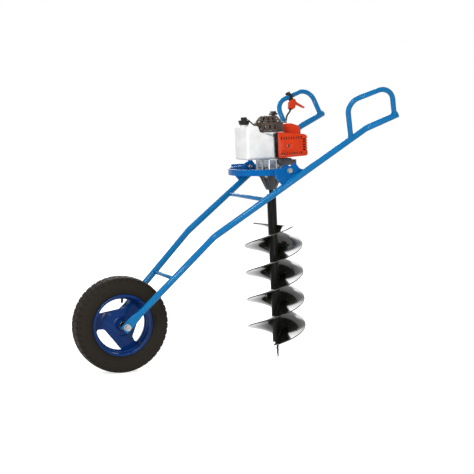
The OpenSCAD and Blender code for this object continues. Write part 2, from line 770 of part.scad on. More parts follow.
module pivot_bolts() color(steel) at_pivot() both_sides() {
    along_y(nut_face - nut_h - 3, bracket_out + washer_t, pivot_r);
    hex_y(bracket_out + washer_t, bracket_out + washer_t + bolt_head_h, bolt_flats);
}
module pivot_nuts() color(steel) at_pivot() both_sides() difference() {
    hex_y(nut_face - nut_h, nut_face, bolt_flats);
    along_y(nut_face - nut_h - past, nut_face + past, pivot_r + seat);
}
module frame_washers() color(steel) both_sides() {
    at_pivot() tube_y(bracket_out + seat, bracket_out + washer_t - seat, washer_r, pivot_r + seat);
    at_axle() tube_y(tab_outer + seat, tab_outer + washer_t - seat, axle_washer_r, axle_d / 2 + seat);
}
module axle_bolt() color(steel) at_axle() {
    along_y(-tab_outer - washer_t - axle_nut_h - 3, tab_outer + washer_t, axle_d / 2);
    hex_y(tab_outer + washer_t, tab_outer + washer_t + axle_d * 0.65, axle_flats);
}
module axle_nut() color(steel) at_axle() difference() {
    hex_y(-tab_outer - washer_t - axle_nut_h, -tab_outer - washer_t, axle_flats);
    along_y(-tab_outer - washer_t - axle_nut_h - past, -tab_outer - washer_t + past, axle_d / 2 + seat);
}
module axle_spacers() color(steel) at_axle() both_sides()
    tube_y(hub_half + air, tab_inner - seat, axle_d / 2 + 5, axle_d / 2 + seat);

// Throttle on the right handle loop

module throttle_clamp() color(black) in_grip() difference() {
    union() {
        along_x(-clamp_half, clamp_half, clamp_r);
        block([-clamp_half, -ear_half, 0], [clamp_half, ear_half, ear_top]);
        block([-clamp_half, -9, -clamp_r - 3], [clamp_half, 9, 0]);
    }
    along_x(-clamp_half - past, clamp_half + past, loop_r + seat);
    block([-clamp_half - past, -2, 0], [clamp_half + past, 2, ear_top + past]);
    translate([0, 0, screw_z]) along_y(-ear_half - past, ear_half + past, screw_r + seat);
}
screw_r = 2.5;
screw_z = clamp_r + 2;
module clamp_screw() color(steel) in_grip() translate([0, 0, screw_z]) {
    along_y(-ear_half - 2, ear_half + seat, screw_r);
    along_y(ear_half + seat, ear_half + 4, screw_r * 1.8);
}

module throttle_body() {
    top = -clamp_r - 3 - seat;
    outline = rounded([
        [-body_half, top, 5], [-body_half - 18, body_low + 16, 8], [-body_half - 13, body_low, 6],
        [-body_half + 2, body_low, 6], [4, body_low + 14, 8], [body_half, lever_pivot[1] - 4, 6],
        [body_half, top, 5]]);
    color(orange) in_grip() difference() {
        slab_y(outline, -12, 12);
        // Slot that the lever turns in
        block([lever_pivot[0] - 9, -lever_w / 2 - air, lever_pivot[1] - 26],
            [body_half + 3, lever_w / 2 + air, lever_pivot[1] + 9]);
        translate([lever_pivot[0], 0, lever_pivot[1]]) along_y(-12 - past, 12 + past, 2 + fit);
        // Recess of the stop switch, on the outer side
        block([switch_x - 4, 8, body_low + 10], [switch_x + 4, 12 + past, body_low + 26]);
        // Hole of the cable
        translate(cable_exit) rotate([0, cable_turn, 0]) translate([0, 0, -20])
            cylinder(h = 28, r = cable_d / 2 + seat);
    }
}
switch_x = -body_half;
module throttle_lever() {
    arm = rounded([[0, 6, 0], [lever_len, 2.5, 2.4], [lever_len, -2.5, 2.4], [0, -6, 0]]);
    color(orange) in_grip() translate([lever_pivot[0], 0, lever_pivot[1]]) rotate([0, -lever_rest, 0]) {
        slab_y(arm, -lever_w / 2, lever_w / 2);
        along_y(-lever_w / 2, lever_w / 2, 6);
        along_y(-11, 11, 2);
    }
}
module stop_switch() color(black) in_grip() {
    block([switch_x - 4 + air, 8 + air, body_low + 10 + air], [switch_x + 4 - air, 12, body_low + 21]);
    block([switch_x - 3, 12, body_low + 13.5], [switch_x + 3, 15, body_low + 17.5]);
}
module throttle_cable() color(black) swept_line(smooth(cable_route, 3), cable_d / 2);

// Cradle

module cradle_hoop() color(frame_blue) in_head() difference() {
    union() {
        rotate([0, 0, 90]) rotate_extrude(angle = 180)
            translate([hoop_r - hoop_t, hoop_low]) square([hoop_t, hoop_h]);
        both_sides() {
            block([0, hoop_r - hoop_t, hoop_low], [ear_r / 2, hoop_r, hoop_low + hoop_h]);
            translate([-head_offset, 0, 0]) along_y(hoop_r - hoop_t / 2, hoop_r + ear_t, ear_r);
            translate([-head_offset, 0, 0]) along_y(hoop_r, bracket_in - air, boss_r);
        }
    }
    translate([-head_offset, 0, 0]) along_y(-bracket_in, bracket_in, pivot_r + fit);
}

module flange_holes(a, b) for (k = [0 : 3]) rotate([0, 0, 45 + 90 * k]) translate([flange_bolt_r, 0, a])
    cylinder(h = b - a, r = flange_bolt_d / 2 + seat);

module cradle_plate() color(frame_blue) in_head() difference() {
    intersection() {
        translate([0, 0, plate_low]) cylinder(h = plate_t, r = hoop_r - hoop_t - seat);
        block([-plate_front, -hoop_r, plate_low], [plate_back, hoop_r, plate_top]);
    }
    translate([0, 0, plate_low - past]) cylinder(h = plate_t + 2 * past, r = cone_low_r);
    flange_holes(plate_low - past, plate_top + past);
}

module flange_bolts() color(steel) in_head() for (k = [0 : 3])
    rotate([0, 0, 45 + 90 * k]) translate([flange_bolt_r, 0, 0]) {
        translate([0, 0, gear_flange_low - 9])
            cylinder(h = clutch_flange_top - gear_flange_low + 11, r = flange_bolt_d / 2);
        hex_z(clutch_flange_top + seat, clutch_flange_top + 5, flange_bolt_d * 1.6);
        hex_z(gear_flange_low - 6.5, gear_flange_low - seat, flange_bolt_d * 1.6);
    }

// Gearbox and clutch

bearing_pocket_r = 21;
bearing_top = -gearbox_low + 24;
seal_h = 8;
module gearbox_housing() color(cast_grey) in_head() difference() {
    union() {
        rotate_extrude() polygon([
            [0, plate_low - seat], [flange_r, plate_low - seat], [flange_r, gear_flange_low],
            [cone_top_r + 3, gear_flange_low], [cone_top_r, gear_flange_low - 4], [cone_low_r, -gearbox_low],
            [0, -gearbox_low]]);
        for (k = [0 : cone_ribs - 1]) rotate([0, 0, 360 * (k + 0.5) / cone_ribs])
            slab_y([[cone_low_r - 6, gear_flange_low], [cone_top_r + cone_rib_h, gear_flange_low],
                [cone_top_r + cone_rib_h, gear_flange_low - 8], [cone_low_r + 2, 4 - gearbox_low],
                [cone_low_r - 6, 4 - gearbox_low]], -rib_t / 2, rib_t / 2);
        // Oil filler boss and its plug, on the rear side
        translate([0, 0, gear_flange_low - 30]) along_x(cone_low_r, cone_top_r + 4, 9);
        translate([0, 0, gear_flange_low - 30]) rotate([0, 90, 0])
            translate([0, 0, cone_top_r + 4]) cylinder(h = 5, r = 7, $fn = 6);
    }
    translate([0, 0, -gearbox_low - past]) cylinder(h = shaft_hold + past, r = shaft_d / 2 + fit);
    translate([0, 0, bearing_top - 12]) cylinder(h = 12, r = bearing_pocket_r + seat);
    translate([0, 0, -gearbox_low - past]) cylinder(h = seal_h + past, r = cone_low_r - 4 + seat);
    flange_holes(gear_flange_low - 9, plate_low + past);
}
shaft_hold = 46;
module output_bearing() color(steel) in_head() rotate_extrude()
    translate([shaft_d / 2 + fit, bearing_top - 12 + seat])
        square([bearing_pocket_r - shaft_d / 2 - fit, 12 - 2 * seat]);
module oil_seal() color(black) in_head() rotate_extrude()
    translate([shaft_d / 2 + fit, -gearbox_low]) square([cone_low_r - 4 - shaft_d / 2 - fit, seal_h - seat]);

module clutch_housing() color(silver) in_head() difference() {
    union() {
        rotate_extrude() polygon([
            [0, plate_top + seat], [flange_r, plate_top + seat], [flange_r, clutch_flange_top],
            [flange_bolt_r - 11, clutch_flange_top], [clutch_r - 8, clutch_flange_top + 10],
            [clutch_r, clutch_flange_top + 14], [clutch_r, clutch_top - 4], [flange_r - 2, clutch_top - 4],
            [flange_r - 2, clutch_top - seat], [0, clutch_top - seat]]);
        for (k = [0 : clutch_ribs - 1]) rotate([0, 0, 360 * k / clutch_ribs])
            slab_y([[clutch_r - 14, clutch_flange_top - 1], [flange_r - 1, clutch_flange_top - 1],
                [flange_r - 2, clutch_top - 3], [clutch_r - 14, clutch_top - 3]], -rib_t / 2, rib_t / 2);
    }
    flange_holes(plate_top - past, clutch_flange_top + 4);
}

// Cast yoke that carries the cylinder side of the engine
yoke_low = clutch_top - 29;
module engine_yoke() color(dark_steel) in_head() difference() {
    translate([0, 0, yoke_low]) linear_extrude(clutch_top - seat - yoke_low)
        polygon(box_outline(8, -66, 96, 58, 10));
    translate([0, 0, yoke_low - past]) cylinder(h = clutch_top - yoke_low + 2 * past, r = flange_r + seat);
    for (y = [-45, -27, 27]) translate([82, y, yoke_low - past]) cylinder(h = 14, r = 6);
    block([70, -66 - past, clutch_top - 8], [96 + past, 58 + past, clutch_top + past]);
}

// Engine

module crankcase() color(silver) in_head() difference() {
    union() {
        translate([0, 0, deck]) cylinder(h = crankcase_h, r = crankcase_r);
        translate([0, 0, deck]) cylinder(h = 6, r = crankcase_r + 1);
        translate([0, 0, crank_top - 6]) cylinder(h = 6, r = fan_r);
        block([0, -40, crank_mid - 44], [cyl_face, 40, crank_mid + 44]);
        block([0, -12, deck], [cyl_face + 15, 12, deck + 8]);
    }
    translate([0, 0, deck + 40]) cylinder(h = crankcase_h, r = crank_r + fit);
    for (z = [crank_mid - 30, crank_mid + 30]) translate([0, 0, z]) both_sides()
        block([-crankcase_r, crankcase_r - 5, -4], [crankcase_r, crankcase_r + past, 4]);
}

module engine_cylinder() color(silver) in_head() difference() {
    translate([0, 0, crank_mid]) union() {
        along_x(cyl_face + seat, cyl_end, barrel_r);
        block([cyl_face + seat, -38, -38], [cyl_face + 6, 38, 38]);
        for (k = [0 : fin_count - 1]) slab_x(fin_start + k * fin_pitch, fin_t, fin_half, 12);
        both_sides()
            block([carb_x - port_half, barrel_r - 10, -port_half], [carb_x + port_half, port_y, port_half]);
    }
    translate([0, 0, crank_mid]) along_x(cyl_end - 14, cyl_end + past, 7 + seat);
    translate([carb_x, 0, crank_mid]) along_y(port_y - 20, port_y + past, port_r);
}
// Fin with rounded corners, a little wider than it is high
module slab_x(x, t, half, r) translate([x, 0, 0]) rotate([90, 0, 90]) linear_extrude(t)
    polygon(box_outline(-half, 4 - half, half, half - 4, r));

module spark_plug() color(steel) in_head() translate([0, 0, crank_mid]) {
    along_x(cyl_end - 12, cyl_end + seat, 7);
    translate([cyl_end + seat, 0, 0]) rotate([0, 90, 0])
        cylinder(h = plug_hex - cyl_end - seat, r = 12, $fn = 6);
    along_x(plug_hex, plug_end, 5.5);
}
module plug_cap() color(black) in_head() translate([0, 0, crank_mid]) difference() {
    union() {
        along_x(plug_hex + 2, plug_end + cap_wall, 9.5);
        translate([plug_end - 4, 0, -30]) cylinder(h = 30, r = 7);
    }
    along_x(plug_hex - past, plug_end + air, 5.5 + seat);
}

module muffler() {
    front = guard_x + 12;
    rear = guard_x + guard_len - 14;
    color(dark_steel) in_head() difference() {
        union() {
            intersection() {
                slab_y(box_outline(front + 2, deck + 14, rear - 2, deck + guard_rear_h - 4, 14),
                    -muffler_face, -muffler_back - 5);
                translate([0, 0, deck]) linear_extrude(crankcase_h)
                    polygon(box_outline(front, -muffler_face, rear, -muffler_back - 4, 8));
            }
            block([carb_x - 22, -muffler_back - 6, crank_mid - 20],
                [carb_x + 22, -muffler_back, crank_mid + 20]);
        }
        translate([carb_x, 0, crank_mid]) along_y(-muffler_back - 15, -port_y + past, port_r);
        translate([screw_x, 0, screw_h])
            along_y(-muffler_face - past, 9 - muffler_face, muffler_screw_r + seat);
    }
}

// Side of the guard: it is open at the front, so the inner outline runs out there
function guard_outline(inset) = let (
    x0 = inset > 0 ? guard_x - past : guard_x,
    x1 = guard_x + guard_len - inset,
    z0 = deck + 4 + inset,
    front_r = inset > 0 ? 0 : 5)
    rounded([[x0, z0, front_r], [x1, z0 + 3, 10], [x1, deck + 4 + guard_rear_h - inset, 14],
        [x0, deck + 4 + guard_h - inset, front_r]]);
module muffler_guard() {
    step = (guard_len - 44) / (slot_count - 1);
    panel = box_outline(guard_x + 16, deck + 32, guard_x + guard_len - 36, deck + 74, 8);
    color(orange) in_head() difference() {
        union() {
            difference() {
                slab_y(guard_outline(0), -guard_y, -guard_back);
                slab_y(guard_outline(cover_t), cover_t - guard_y, past - guard_back);
            }
            // Raised panel round the way to the muffler's screw
            slab_y(panel, -guard_y - 1.5, cover_t - guard_y);
        }
        for (k = [0 : slot_count - 1], z = [deck + 14, deck + guard_rear_h - 13])
            translate([guard_x + 14 + k * step, -guard_y - past, z])
                cube([slot_w, cover_t + 2 * past, slot_h]);
        for (k = [0 : 4]) translate([guard_x + guard_len - 22, -guard_y - past, deck + 30 + k * 11])
            cube([30, 18, 6]);
        for (k = [0 : slot_count - 3])
            translate([guard_x + 30 + k * step, -guard_y + 16, deck + guard_rear_h - 8])
                cube([slot_w, 12, 40]);
        translate([screw_x, 0, screw_h]) along_y(-guard_y - 3, -guard_back, screw_way_r);
        fan_clear();
    }
}
screw_x = 47;
screw_h = 93;
muffler_screw_r = 3;
screw_way_r = 6.5;
// Room for the fan housing and its seat
module fan_clear() translate([0, 0, crank_top - 6 - air]) cylinder(h = 60, r = fan_r + air);

module cover_screws() color(steel) in_head() {
    translate([screw_x, 0, screw_h]) difference() {
        union() {
            along_y(-muffler_face - 5, -muffler_face - seat, 5);
            along_y(-muffler_face - seat, 8 - muffler_face, muffler_screw_r);
        }
        // Hexagon socket
        hex_y(-muffler_face - 5 - past, -muffler_face - 2, 5);
    }
    for (k = [0 : 3]) rotate([0, 0, 45 + 90 * k]) translate([fan_r - 4.5, 0, fan_top + fan_wall + seat])
        cylinder(h = 3, r = 3.5);
}

// Orange cover over the cylinder: a low roof on the muffler side and a high one on the carburettor side
cover_x = cyl_face + 3;
function cover_low(inset) = rounded([
    [cover_x, deck + 12 + inset, 0], [cover_end - inset, deck + 12 + inset, 10],
    [cover_end - inset, deck + 4 + guard_rear_h - inset, 14], [cover_x, crank_top - 6 - inset, 0]]);
function cover_tall(inset) = rounded([
    [cover_x, deck + 12 + inset, 0], [cover_end - inset, deck + 12 + inset, 10],
    [cover_end - inset, deck + cover_h - 34, 10], [cover_end - 8 - inset, deck + cover_h - 12 - inset, 8],
    [cover_end - 44, deck + cover_h - inset, 20], [cover_x, deck + cover_h - inset, 0]]);
cover_near = 47;
guard_back = cover_near + seat;
module cylinder_cover() color(orange) in_head() difference() {
    union() {
        slab_y(cover_low(0), -cover_near, 8);
        slab_y(cover_tall(0), 5, cover_y);
    }
    slab_y(cover_low(cover_t), cover_t - cover_near, 8);
    slab_y(cover_tall(cover_t), 5 + cover_t, cover_y - cover_t);
    block([0, -cover_near + cover_t, deck + 14], [cover_x + 1, cover_y - cover_t, deck + guard_rear_h]);
    // Ways for the exhaust, the intake and the plug lead, and vents in the end
    block([carb_x - 24, -cover_near - past, crank_mid - 22],
        [carb_x + 24, -cover_near + cover_t + past, crank_mid + 22]);
    block([carb_x - 20, cover_y - cover_t - past, crank_mid - 20],
        [carb_x + 20, cover_y + past, crank_mid + 20]);
    for (k = [0 : 5]) translate([cover_end - 6, -36 + k * 15, deck + 30]) cube([12, 8, 42]);
    fan_clear();
}

module fan_housing() color(starter_brown) in_head() difference() {
    rotate_extrude() polygon([
        [fan_r - fan_wall, crank_top + seat], [fan_r, crank_top + seat], [fan_r, fan_top],
        [fan_r - 14, fan_top], [fan_r - 14, fan_top - 2], [fan_r - fan_wall, fan_top - 4]]);
    // Air outlet towards the cylinder
    block([fan_r / 2, -30, crank_top + 5], [fan_r + past, 34, fan_top - 8]);
    for (k = [0 : 6]) rotate([0, 0, 150 + 20 * k])
        block([fan_r - 6, -4, crank_top + 8], [fan_r + past, 4, fan_top - 8]);
}

module starter_housing() color(starter_brown) in_head() difference() {
    union() {
        rotate_extrude() polygon([
            [0, dome_top], [dome_top_r - 3, dome_top], [dome_top_r, dome_top - 2], [fan_r - 10, fan_top + 12],
            [fan_r - 8, fan_top + fan_wall], [fan_r, fan_top + fan_wall], [fan_r, fan_top + seat],
            [fan_r - 8 - fan_wall, fan_top + seat], [fan_r - 10 - fan_wall, fan_top + 11],
            [dome_top_r - 2, dome_top - fan_wall - 1], [0, dome_top - fan_wall]]);
        translate([grip_x, 0, dome_top - 8]) cylinder(h = 10, r = 8);
        // Drum that the rope winds on, seen through the vents
        translate([0, 0, fan_top + 4]) cylinder(h = dome_h - 4 - fan_wall / 2, r = dome_top_r - 4);
    }
    for (k = [0 : dome_vents - 1]) rotate([0, 0, 360 * (k + 0.5) / dome_vents]) {
        block([dome_top_r + 1, -4, fan_top + 14], [fan_r, 4, dome_top - 5]);
        block([fan_r - 16, -6, fan_top + 4.5], [fan_r - past, 6, fan_top + 10]);
    }
    translate([grip_x, 0, dome_top - 8 - past]) cylinder(h = 12, r = rope_r + 0.8);
}
rope_r = 2;
module starter_rope() color("#d8d4c8") in_head()
    translate([grip_x, 0, dome_top - 6]) cylinder(h = 18, r = rope_r);

module starter_grip() {
    low = dome_top + 2 + air;
    half = [[15, 0, 2], [13, 5, 3], [5.5, grip_h - 5, 6], [5, grip_h, 2.5]];
    side = rounded(concat(
        [for (p = half) [p[0], low + p[1], p[2]]],
        [for (p = reversed(half)) [-p[0], low + p[1], p[2]]]));
    color(black) in_head() translate([grip_x, 0, 0]) difference() {
        intersection() {
            slab_y(side, -grip_len / 2, grip_len / 2);
            translate([0, 0, low]) linear_extrude(grip_h)
                polygon(box_outline(-16, -grip_len / 2, 16, grip_len / 2, 8));
        }
        translate([0, 0, low - past]) cylinder(h = grip_h - 4 + past, r = rope_r + seat);
    }
}

module flywheel() color(cast_grey) in_head() {
    translate([0, 0, deck + 42]) cylinder(h = crank_top + fan_h - 10 - deck - 42, r = crank_r);
    translate([0, 0, crank_top + 4]) cylinder(h = 6, r = fan_r - fan_wall - 5);
    translate([0, 0, crank_top + 4]) cylinder(h = 22, r = 16);
    for (k = [0 : 13]) rotate([0, 0, 360 * k / 14])
        block([14, -1.5, crank_top + 9], [fan_r - fan_wall - 5, 1.5, fan_top - 8]);
    hex_z(fan_top - 11, fan_top - 1, 17);
}

module fuel_tank() {
    rear = -2;
    side = rounded([
        [-tank_front, deck + 2, 10], [rear, deck + 2, 8], [rear, deck + tank_low_h, 10],
        [rear - 43, deck + tank_low_h + 17, 12], [rear - 71, deck + tank_low_h + 27, 8],
        [rear - 79, tank_top - 3, 10], [-tank_front + 4, tank_top, 14]]);
    color(tank_white) in_head() difference() {
        union() {
            intersection() {
                slab_y(side, -tank_w / 2, tank_w / 2);
                translate([0, 0, deck]) linear_extrude(tank_h)
                    polygon(box_outline(-tank_front, -tank_w / 2, rear, tank_w / 2, tank_edge));
                translate([-tank_front, 0, 0]) rotate([90, 0, 90]) linear_extrude(tank_front)
                    polygon(box_outline(-tank_w / 2, deck + 2, tank_w / 2, tank_top, tank_edge));
            }
            translate([-cap_x, 0, tank_top - 10]) cylinder(h = 21, r = neck_r);
        }
        // Saddle that fits round the crankcase
        translate([0, 0, deck - past]) cylinder(h = tank_h, r = crankcase_r + air);
        block([0, -crankcase_r - air, deck - past], [tank_front, crankcase_r + air, deck + tank_h]);
        block([-crankcase_r / 2, -tank_w, deck - past], [0, tank_w, deck + 2 + seat]);
        translate([0, 0, deck - past]) cylinder(h = 7 + past, r = crankcase_r + 1 + air);
        translate([0, 0, crank_top - 6 - air]) cylinder(h = 60, r = fan_r + air);
        translate([hose_start[0], hose_start[1], tank_top - 16]) cylinder(h = 20, r = hose_r + seat);
    }
}

module fuel_cap() color(black) in_head() translate([-cap_x, 0, 0]) {
    rotate_extrude() polygon([
        [neck_r + air, tank_top + 3], [cap_r - 4, tank_top + 3], [cap_r, tank_top + 19],
        [cap_r, tank_top + 22], [cap_r / 2, tank_top + 22.5], [cap_r / 2, tank_top + 33],
        [cap_r / 2 - 2, tank_top + 34.5], [0, tank_top + 34.5], [0, tank_top + 12],
        [neck_r + air, tank_top + 12]]);
    for (k = [0 : 7]) rotate([0, 0, 45 * k])
        translate([cap_r / 2, 0, tank_top + 22]) cylinder(h = 11, r = 1.5);
}

module fuel_hose() color(black) in_head() {
    swept_line(smooth(hose_route, 3), hose_r);
    translate([hose_start[0], hose_start[1], tank_top + seat]) rotate_extrude()
        translate([hose_r - 0.6, 0]) square([3.6, 3]);
}

// Carburettor and air cleaner, on the far side of the cylinder

module carburettor() color(silver) in_head() translate([carb_x, 0, crank_mid]) difference() {
    union() {
        block([-14, port_y + seat, -14], [14, carb_y, 14]);
        slab_y(box_outline(-carb_half, -carb_half, carb_half, carb_half, 4), carb_y, cleaner_y - seat);
        translate([0, carb_y + carb_len / 2, carb_half]) cylinder(h = 12, r = 6);
        translate(nipple - [carb_x, 0, crank_mid]) along_x(0, 4, hose_r - 0.7);
    }
    along_y(port_y - past, cleaner_y + past, port_r);
    translate([0, carb_y + carb_len / 2, carb_half + 6]) cylinder(h = 7, r = cable_d / 2 + seat);
    translate([0, carb_y + carb_len / 2, -3]) along_x(carb_half - 10, carb_half + past, primer_r + air);
}
module primer_bulb() color("#9c2b20") in_head()
    translate([carb_x + carb_half, carb_y + carb_len / 2, crank_mid - 3]) rotate([0, 90, 0])
        rotate_extrude() polygon(concat([[0, -5], [primer_r, -5], [primer_r, 3]],
            [for (k = [1 : 6]) [primer_r * cos(15 * k), 3 + primer_r * sin(15 * k)]]));

module air_cleaner_base() color(black) in_head() translate([carb_x, 0, crank_mid]) difference() {
    union() {
        slab_y(box_outline(-cleaner_half, -cleaner_half, cleaner_half, cleaner_half, 8),
            cleaner_y, cleaner_y + cleaner_plate);
        slab_y(box_outline(-cleaner_half - 18, -9, -cleaner_half + 10, 9, 8),
            cleaner_y, cleaner_y + cleaner_plate);
    }
    along_y(cleaner_y - past, cleaner_y + cleaner_plate + past, port_r);
    translate([-cleaner_half - 9, 0, 0])
        along_y(cleaner_y - past, cleaner_y + cleaner_plate + past, choke_r + fit);
}
choke_r = 2.5;
module choke_lever() {
    arm = rounded([[0, 5, 0], [-24, 4, 3], [-24, -4, 3], [0, -5, 0]]);
    y = cleaner_y + cleaner_plate + air;
    color(black) in_head() translate([carb_x - cleaner_half - 9, 0, crank_mid]) {
        along_y(cleaner_y, y + 1, choke_r);
        along_y(y, y + 3, 7);
        slab_y(arm, y, y + 3);
        translate([-20, 0, 0]) along_y(y + 2, y + 8, 4);
    }
}

module air_cleaner_cover() color(black) in_head() translate([carb_x, 0, crank_mid]) difference() {
    slab_y(box_outline(-cleaner_half, -cleaner_half, cleaner_half, cleaner_half, 10),
        cleaner_y + cleaner_plate + seat, cleaner_y + cleaner_plate + cleaner_len);
    slab_y(box_outline(3 - cleaner_half, 3 - cleaner_half, cleaner_half - 3, cleaner_half - 3, 8),
        cleaner_y + cleaner_plate - past, cleaner_y + cleaner_plate + cleaner_len - 3);
    for (k = [0 : 5]) block([-25 + 9 * k, cleaner_y + cleaner_plate + 6, -cleaner_half - past],
        [-21 + 9 * k, cleaner_y + cleaner_plate + cleaner_len - 6, 4 - cleaner_half]);
}

// Auger

module output_shaft() color(black) in_head() difference() {
    translate([0, 0, -auger_tube_top - shaft_reach])
        cylinder(h = shaft_reach + auger_tube_top - gearbox_low + shaft_hold - air, r = shaft_d / 2);
    translate([0, 0, pin_z]) along_y(-shaft_d, shaft_d, pin_d / 2 + seat);
}
pin_z = -auger_tube_top - shaft_reach / 2;
module drive_pin() color(steel) in_head() translate([0, 0, pin_z]) {
    along_y(-auger_tube_d / 2 - 5, auger_tube_d / 2 + 5, pin_d / 2);
    along_y(auger_tube_d / 2 + 5, auger_tube_d / 2 + 10, pin_d / 2 + 2.5);
}
module auger_tube() color(black) in_head() difference() {
    translate([0, 0, tube_low]) cylinder(h = auger_tube_len, r = auger_tube_d / 2);
    translate([0, 0, -auger_tube_top - shaft_reach - air])
        cylinder(h = shaft_reach + air + past, r = shaft_d / 2 + seat);
    translate([0, 0, tube_low + 20])
        cylinder(h = auger_tube_len - shaft_reach - 30, r = auger_tube_d / 2 - auger_tube_wall);
    translate([0, 0, pin_z]) along_y(-auger_tube_d, auger_tube_d, pin_d / 2 + seat);
    translate([0, 0, tube_low - past]) cylinder(h = 15 + past, r = pilot_d / 2 - 1 + seat);
}

// Right-hand spiral flights, each with its foot near the end of the tube
steps_per_turn = 36;
flight_r = auger_d / 2;
flight_lead = flight_pitch * flight_starts;
flight_turns = (auger_tube_len - flight_top - 10) / flight_lead;
flight_foot = 236;
module flight() {
    count = floor(flight_turns * steps_per_turn);
    inner = (auger_tube_d / 2 + seat) / cos(180 / steps_per_turn);
    low = tube_low + 4;
    function corner(i, r, z) = let (turn = 360 * i / steps_per_turn)
        [r * cos(turn), r * sin(turn), low + flight_lead * i / steps_per_turn + z];
    points = [for (i = [0 : count]) each [
        corner(i, inner, 0), corner(i, flight_r, 0),
        corner(i, flight_r, flight_t), corner(i, inner, flight_t)]];
    skin = [for (i = [0 : count - 1], k = [0 : 3]) let (a = 4 * i + k, b = 4 * i + (k + 1) % 4)
        each [[a, b, a + 4], [b, b + 4, a + 4]]];
    last = 4 * count;
    ends = [[0, 2, 1], [0, 3, 2], [last, last + 1, last + 2], [last, last + 2, last + 3]];
    polyhedron(points, [for (f = concat(skin, ends)) reversed(f)]);
}
module auger_flight() color(black) in_head() for (k = [0 : flight_starts - 1])
    rotate([0, 0, flight_foot + 360 * k / flight_starts]) flight();

// Twisted pilot point: a core with a slim right-hand spiral round it
module pilot_point() {
    core = pilot_d / 2 - 2;
    turns = 3.5;
    rings = 42;
    sides = 12;
    top = tube_low + 14;
    function pilot_r(i, k) = let (s = i / rings, t = max(0, s - 0.2) / 0.8)
        (i == rings ? 0.8 : s < 0.2 ? pilot_d / 2 - 1
            : (core + 2 * pow(max(0, cos(360 * k / sides - 360 * turns * t)), 3)) * (1 - 0.55 * pow(t, 3)));
    points = [for (i = [0 : rings], k = [0 : sides - 1]) let (r = pilot_r(i, k))
        [r * cos(360 * k / sides), r * sin(360 * k / sides), top + (tip_low - top) * i / rings]];
    skin = [for (i = [0 : rings - 1], k = [0 : sides - 1])
        let (a = i * sides + k, b = i * sides + (k + 1) % sides)
        each [[a, b, a + sides], [b, b + sides, a + sides]]];
    tip = rings * sides;
    ends = [for (k = [1 : sides - 2]) each [[0, k + 1, k], [tip, tip + k, tip + k + 1]]];
    color(black) in_head() polyhedron(points, concat(skin, ends));
}

left_rail();
right_rail();
left_handle_loop();
right_handle_loop();
lower_cross_bar();
upper_cross_bar();
left_bracket();
right_bracket();
pivot_bolts();
pivot_nuts();
frame_washers();
axle_bolt();
axle_nut();
axle_spacers();
throttle_clamp();
clamp_screw();
throttle_body();
throttle_cable();
tyre();
inner_tube();
rim();
wheel_disc();
hub();
hub_bearings();
cradle_hoop();
cradle_plate();
flange_bolts();
gearbox_housing();
output_bearing();
oil_seal();
clutch_housing();
engine_yoke();
crankcase();
engine_cylinder();
spark_plug();
plug_cap();
muffler();
muffler_guard();
cylinder_cover();
cover_screws();
fan_housing();
starter_housing();
fuel_tank();
fuel_hose();
carburettor();
air_cleaner_base();
air_cleaner_cover();
flywheel();
fuel_cap();
starter_grip();
starter_rope();
throttle_lever();
stop_switch();
choke_lever();
primer_bulb();
output_shaft();
drive_pin();
auger_tube();
auger_flight();
pilot_point();
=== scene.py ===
"""Earth auger on a one-wheel barrow frame: its fine pieces, its finishes, a plain stage and the camera."""
import json
import math

import bmesh
import bpy
from bpy.props import FloatProperty, FloatVectorProperty, IntProperty, PointerProperty
from mathutils import Matrix, Vector


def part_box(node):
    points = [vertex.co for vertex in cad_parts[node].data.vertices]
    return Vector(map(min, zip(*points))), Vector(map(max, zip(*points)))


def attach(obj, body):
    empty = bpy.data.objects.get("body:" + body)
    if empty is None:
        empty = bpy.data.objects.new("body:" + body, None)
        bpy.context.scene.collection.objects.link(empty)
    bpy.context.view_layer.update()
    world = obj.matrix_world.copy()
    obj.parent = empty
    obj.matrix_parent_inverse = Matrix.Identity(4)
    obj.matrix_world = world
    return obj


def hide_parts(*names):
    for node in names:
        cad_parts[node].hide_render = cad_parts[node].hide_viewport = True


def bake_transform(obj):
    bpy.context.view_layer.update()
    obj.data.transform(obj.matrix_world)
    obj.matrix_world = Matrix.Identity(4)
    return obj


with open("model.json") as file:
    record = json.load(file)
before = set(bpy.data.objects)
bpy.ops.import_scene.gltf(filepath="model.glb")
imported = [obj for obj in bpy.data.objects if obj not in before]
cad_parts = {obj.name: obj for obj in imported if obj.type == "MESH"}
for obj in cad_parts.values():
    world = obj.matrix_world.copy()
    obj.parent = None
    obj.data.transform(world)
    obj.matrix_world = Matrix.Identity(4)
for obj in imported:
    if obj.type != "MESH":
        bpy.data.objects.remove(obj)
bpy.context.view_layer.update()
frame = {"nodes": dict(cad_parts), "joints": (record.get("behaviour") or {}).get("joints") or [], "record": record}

bl_info = {
    "name": "Earth auger",
    "version": (1, 0, 0),
    "blender": (4, 5, 0),
    "location": "View3D > Sidebar > Earth auger",
    "description": "Fine pieces, finishes and a studio stage for an earth auger on a wheeled frame",
    "category": "Object",
}

# The places that the construction's joints give
MM = 0.001
JOINTS = {joint["name"]: joint for joint in frame["joints"]}
SLOTS = {part["node"]: part["material_slot"] for part in frame["record"]["subparts"]}
AXLE = Vector(JOINTS["wheel_spin"]["pos_m"])
PIVOT = Vector(JOINTS["head_tilt"]["pos_m"])
HEAD_UP = Vector(JOINTS["auger_spin"]["axis"]).normalized()
HEAD_BACK = Vector((HEAD_UP.z, 0, -HEAD_UP.x))
ACROSS = Vector((0, 1, 0))


def axes(x, y, z, origin):
    """Matrix that takes a piece's own axes to the row frame."""
    return Matrix.Translation(origin) @ Matrix((x, y, z)).transposed().to_4x4()


# Drill head: X back, Y to the operator's right, Z up along the auger, from the pivot's height
HEAD = axes(HEAD_BACK, ACROSS, HEAD_UP, Vector(JOINTS["auger_spin"]["pos_m"]))
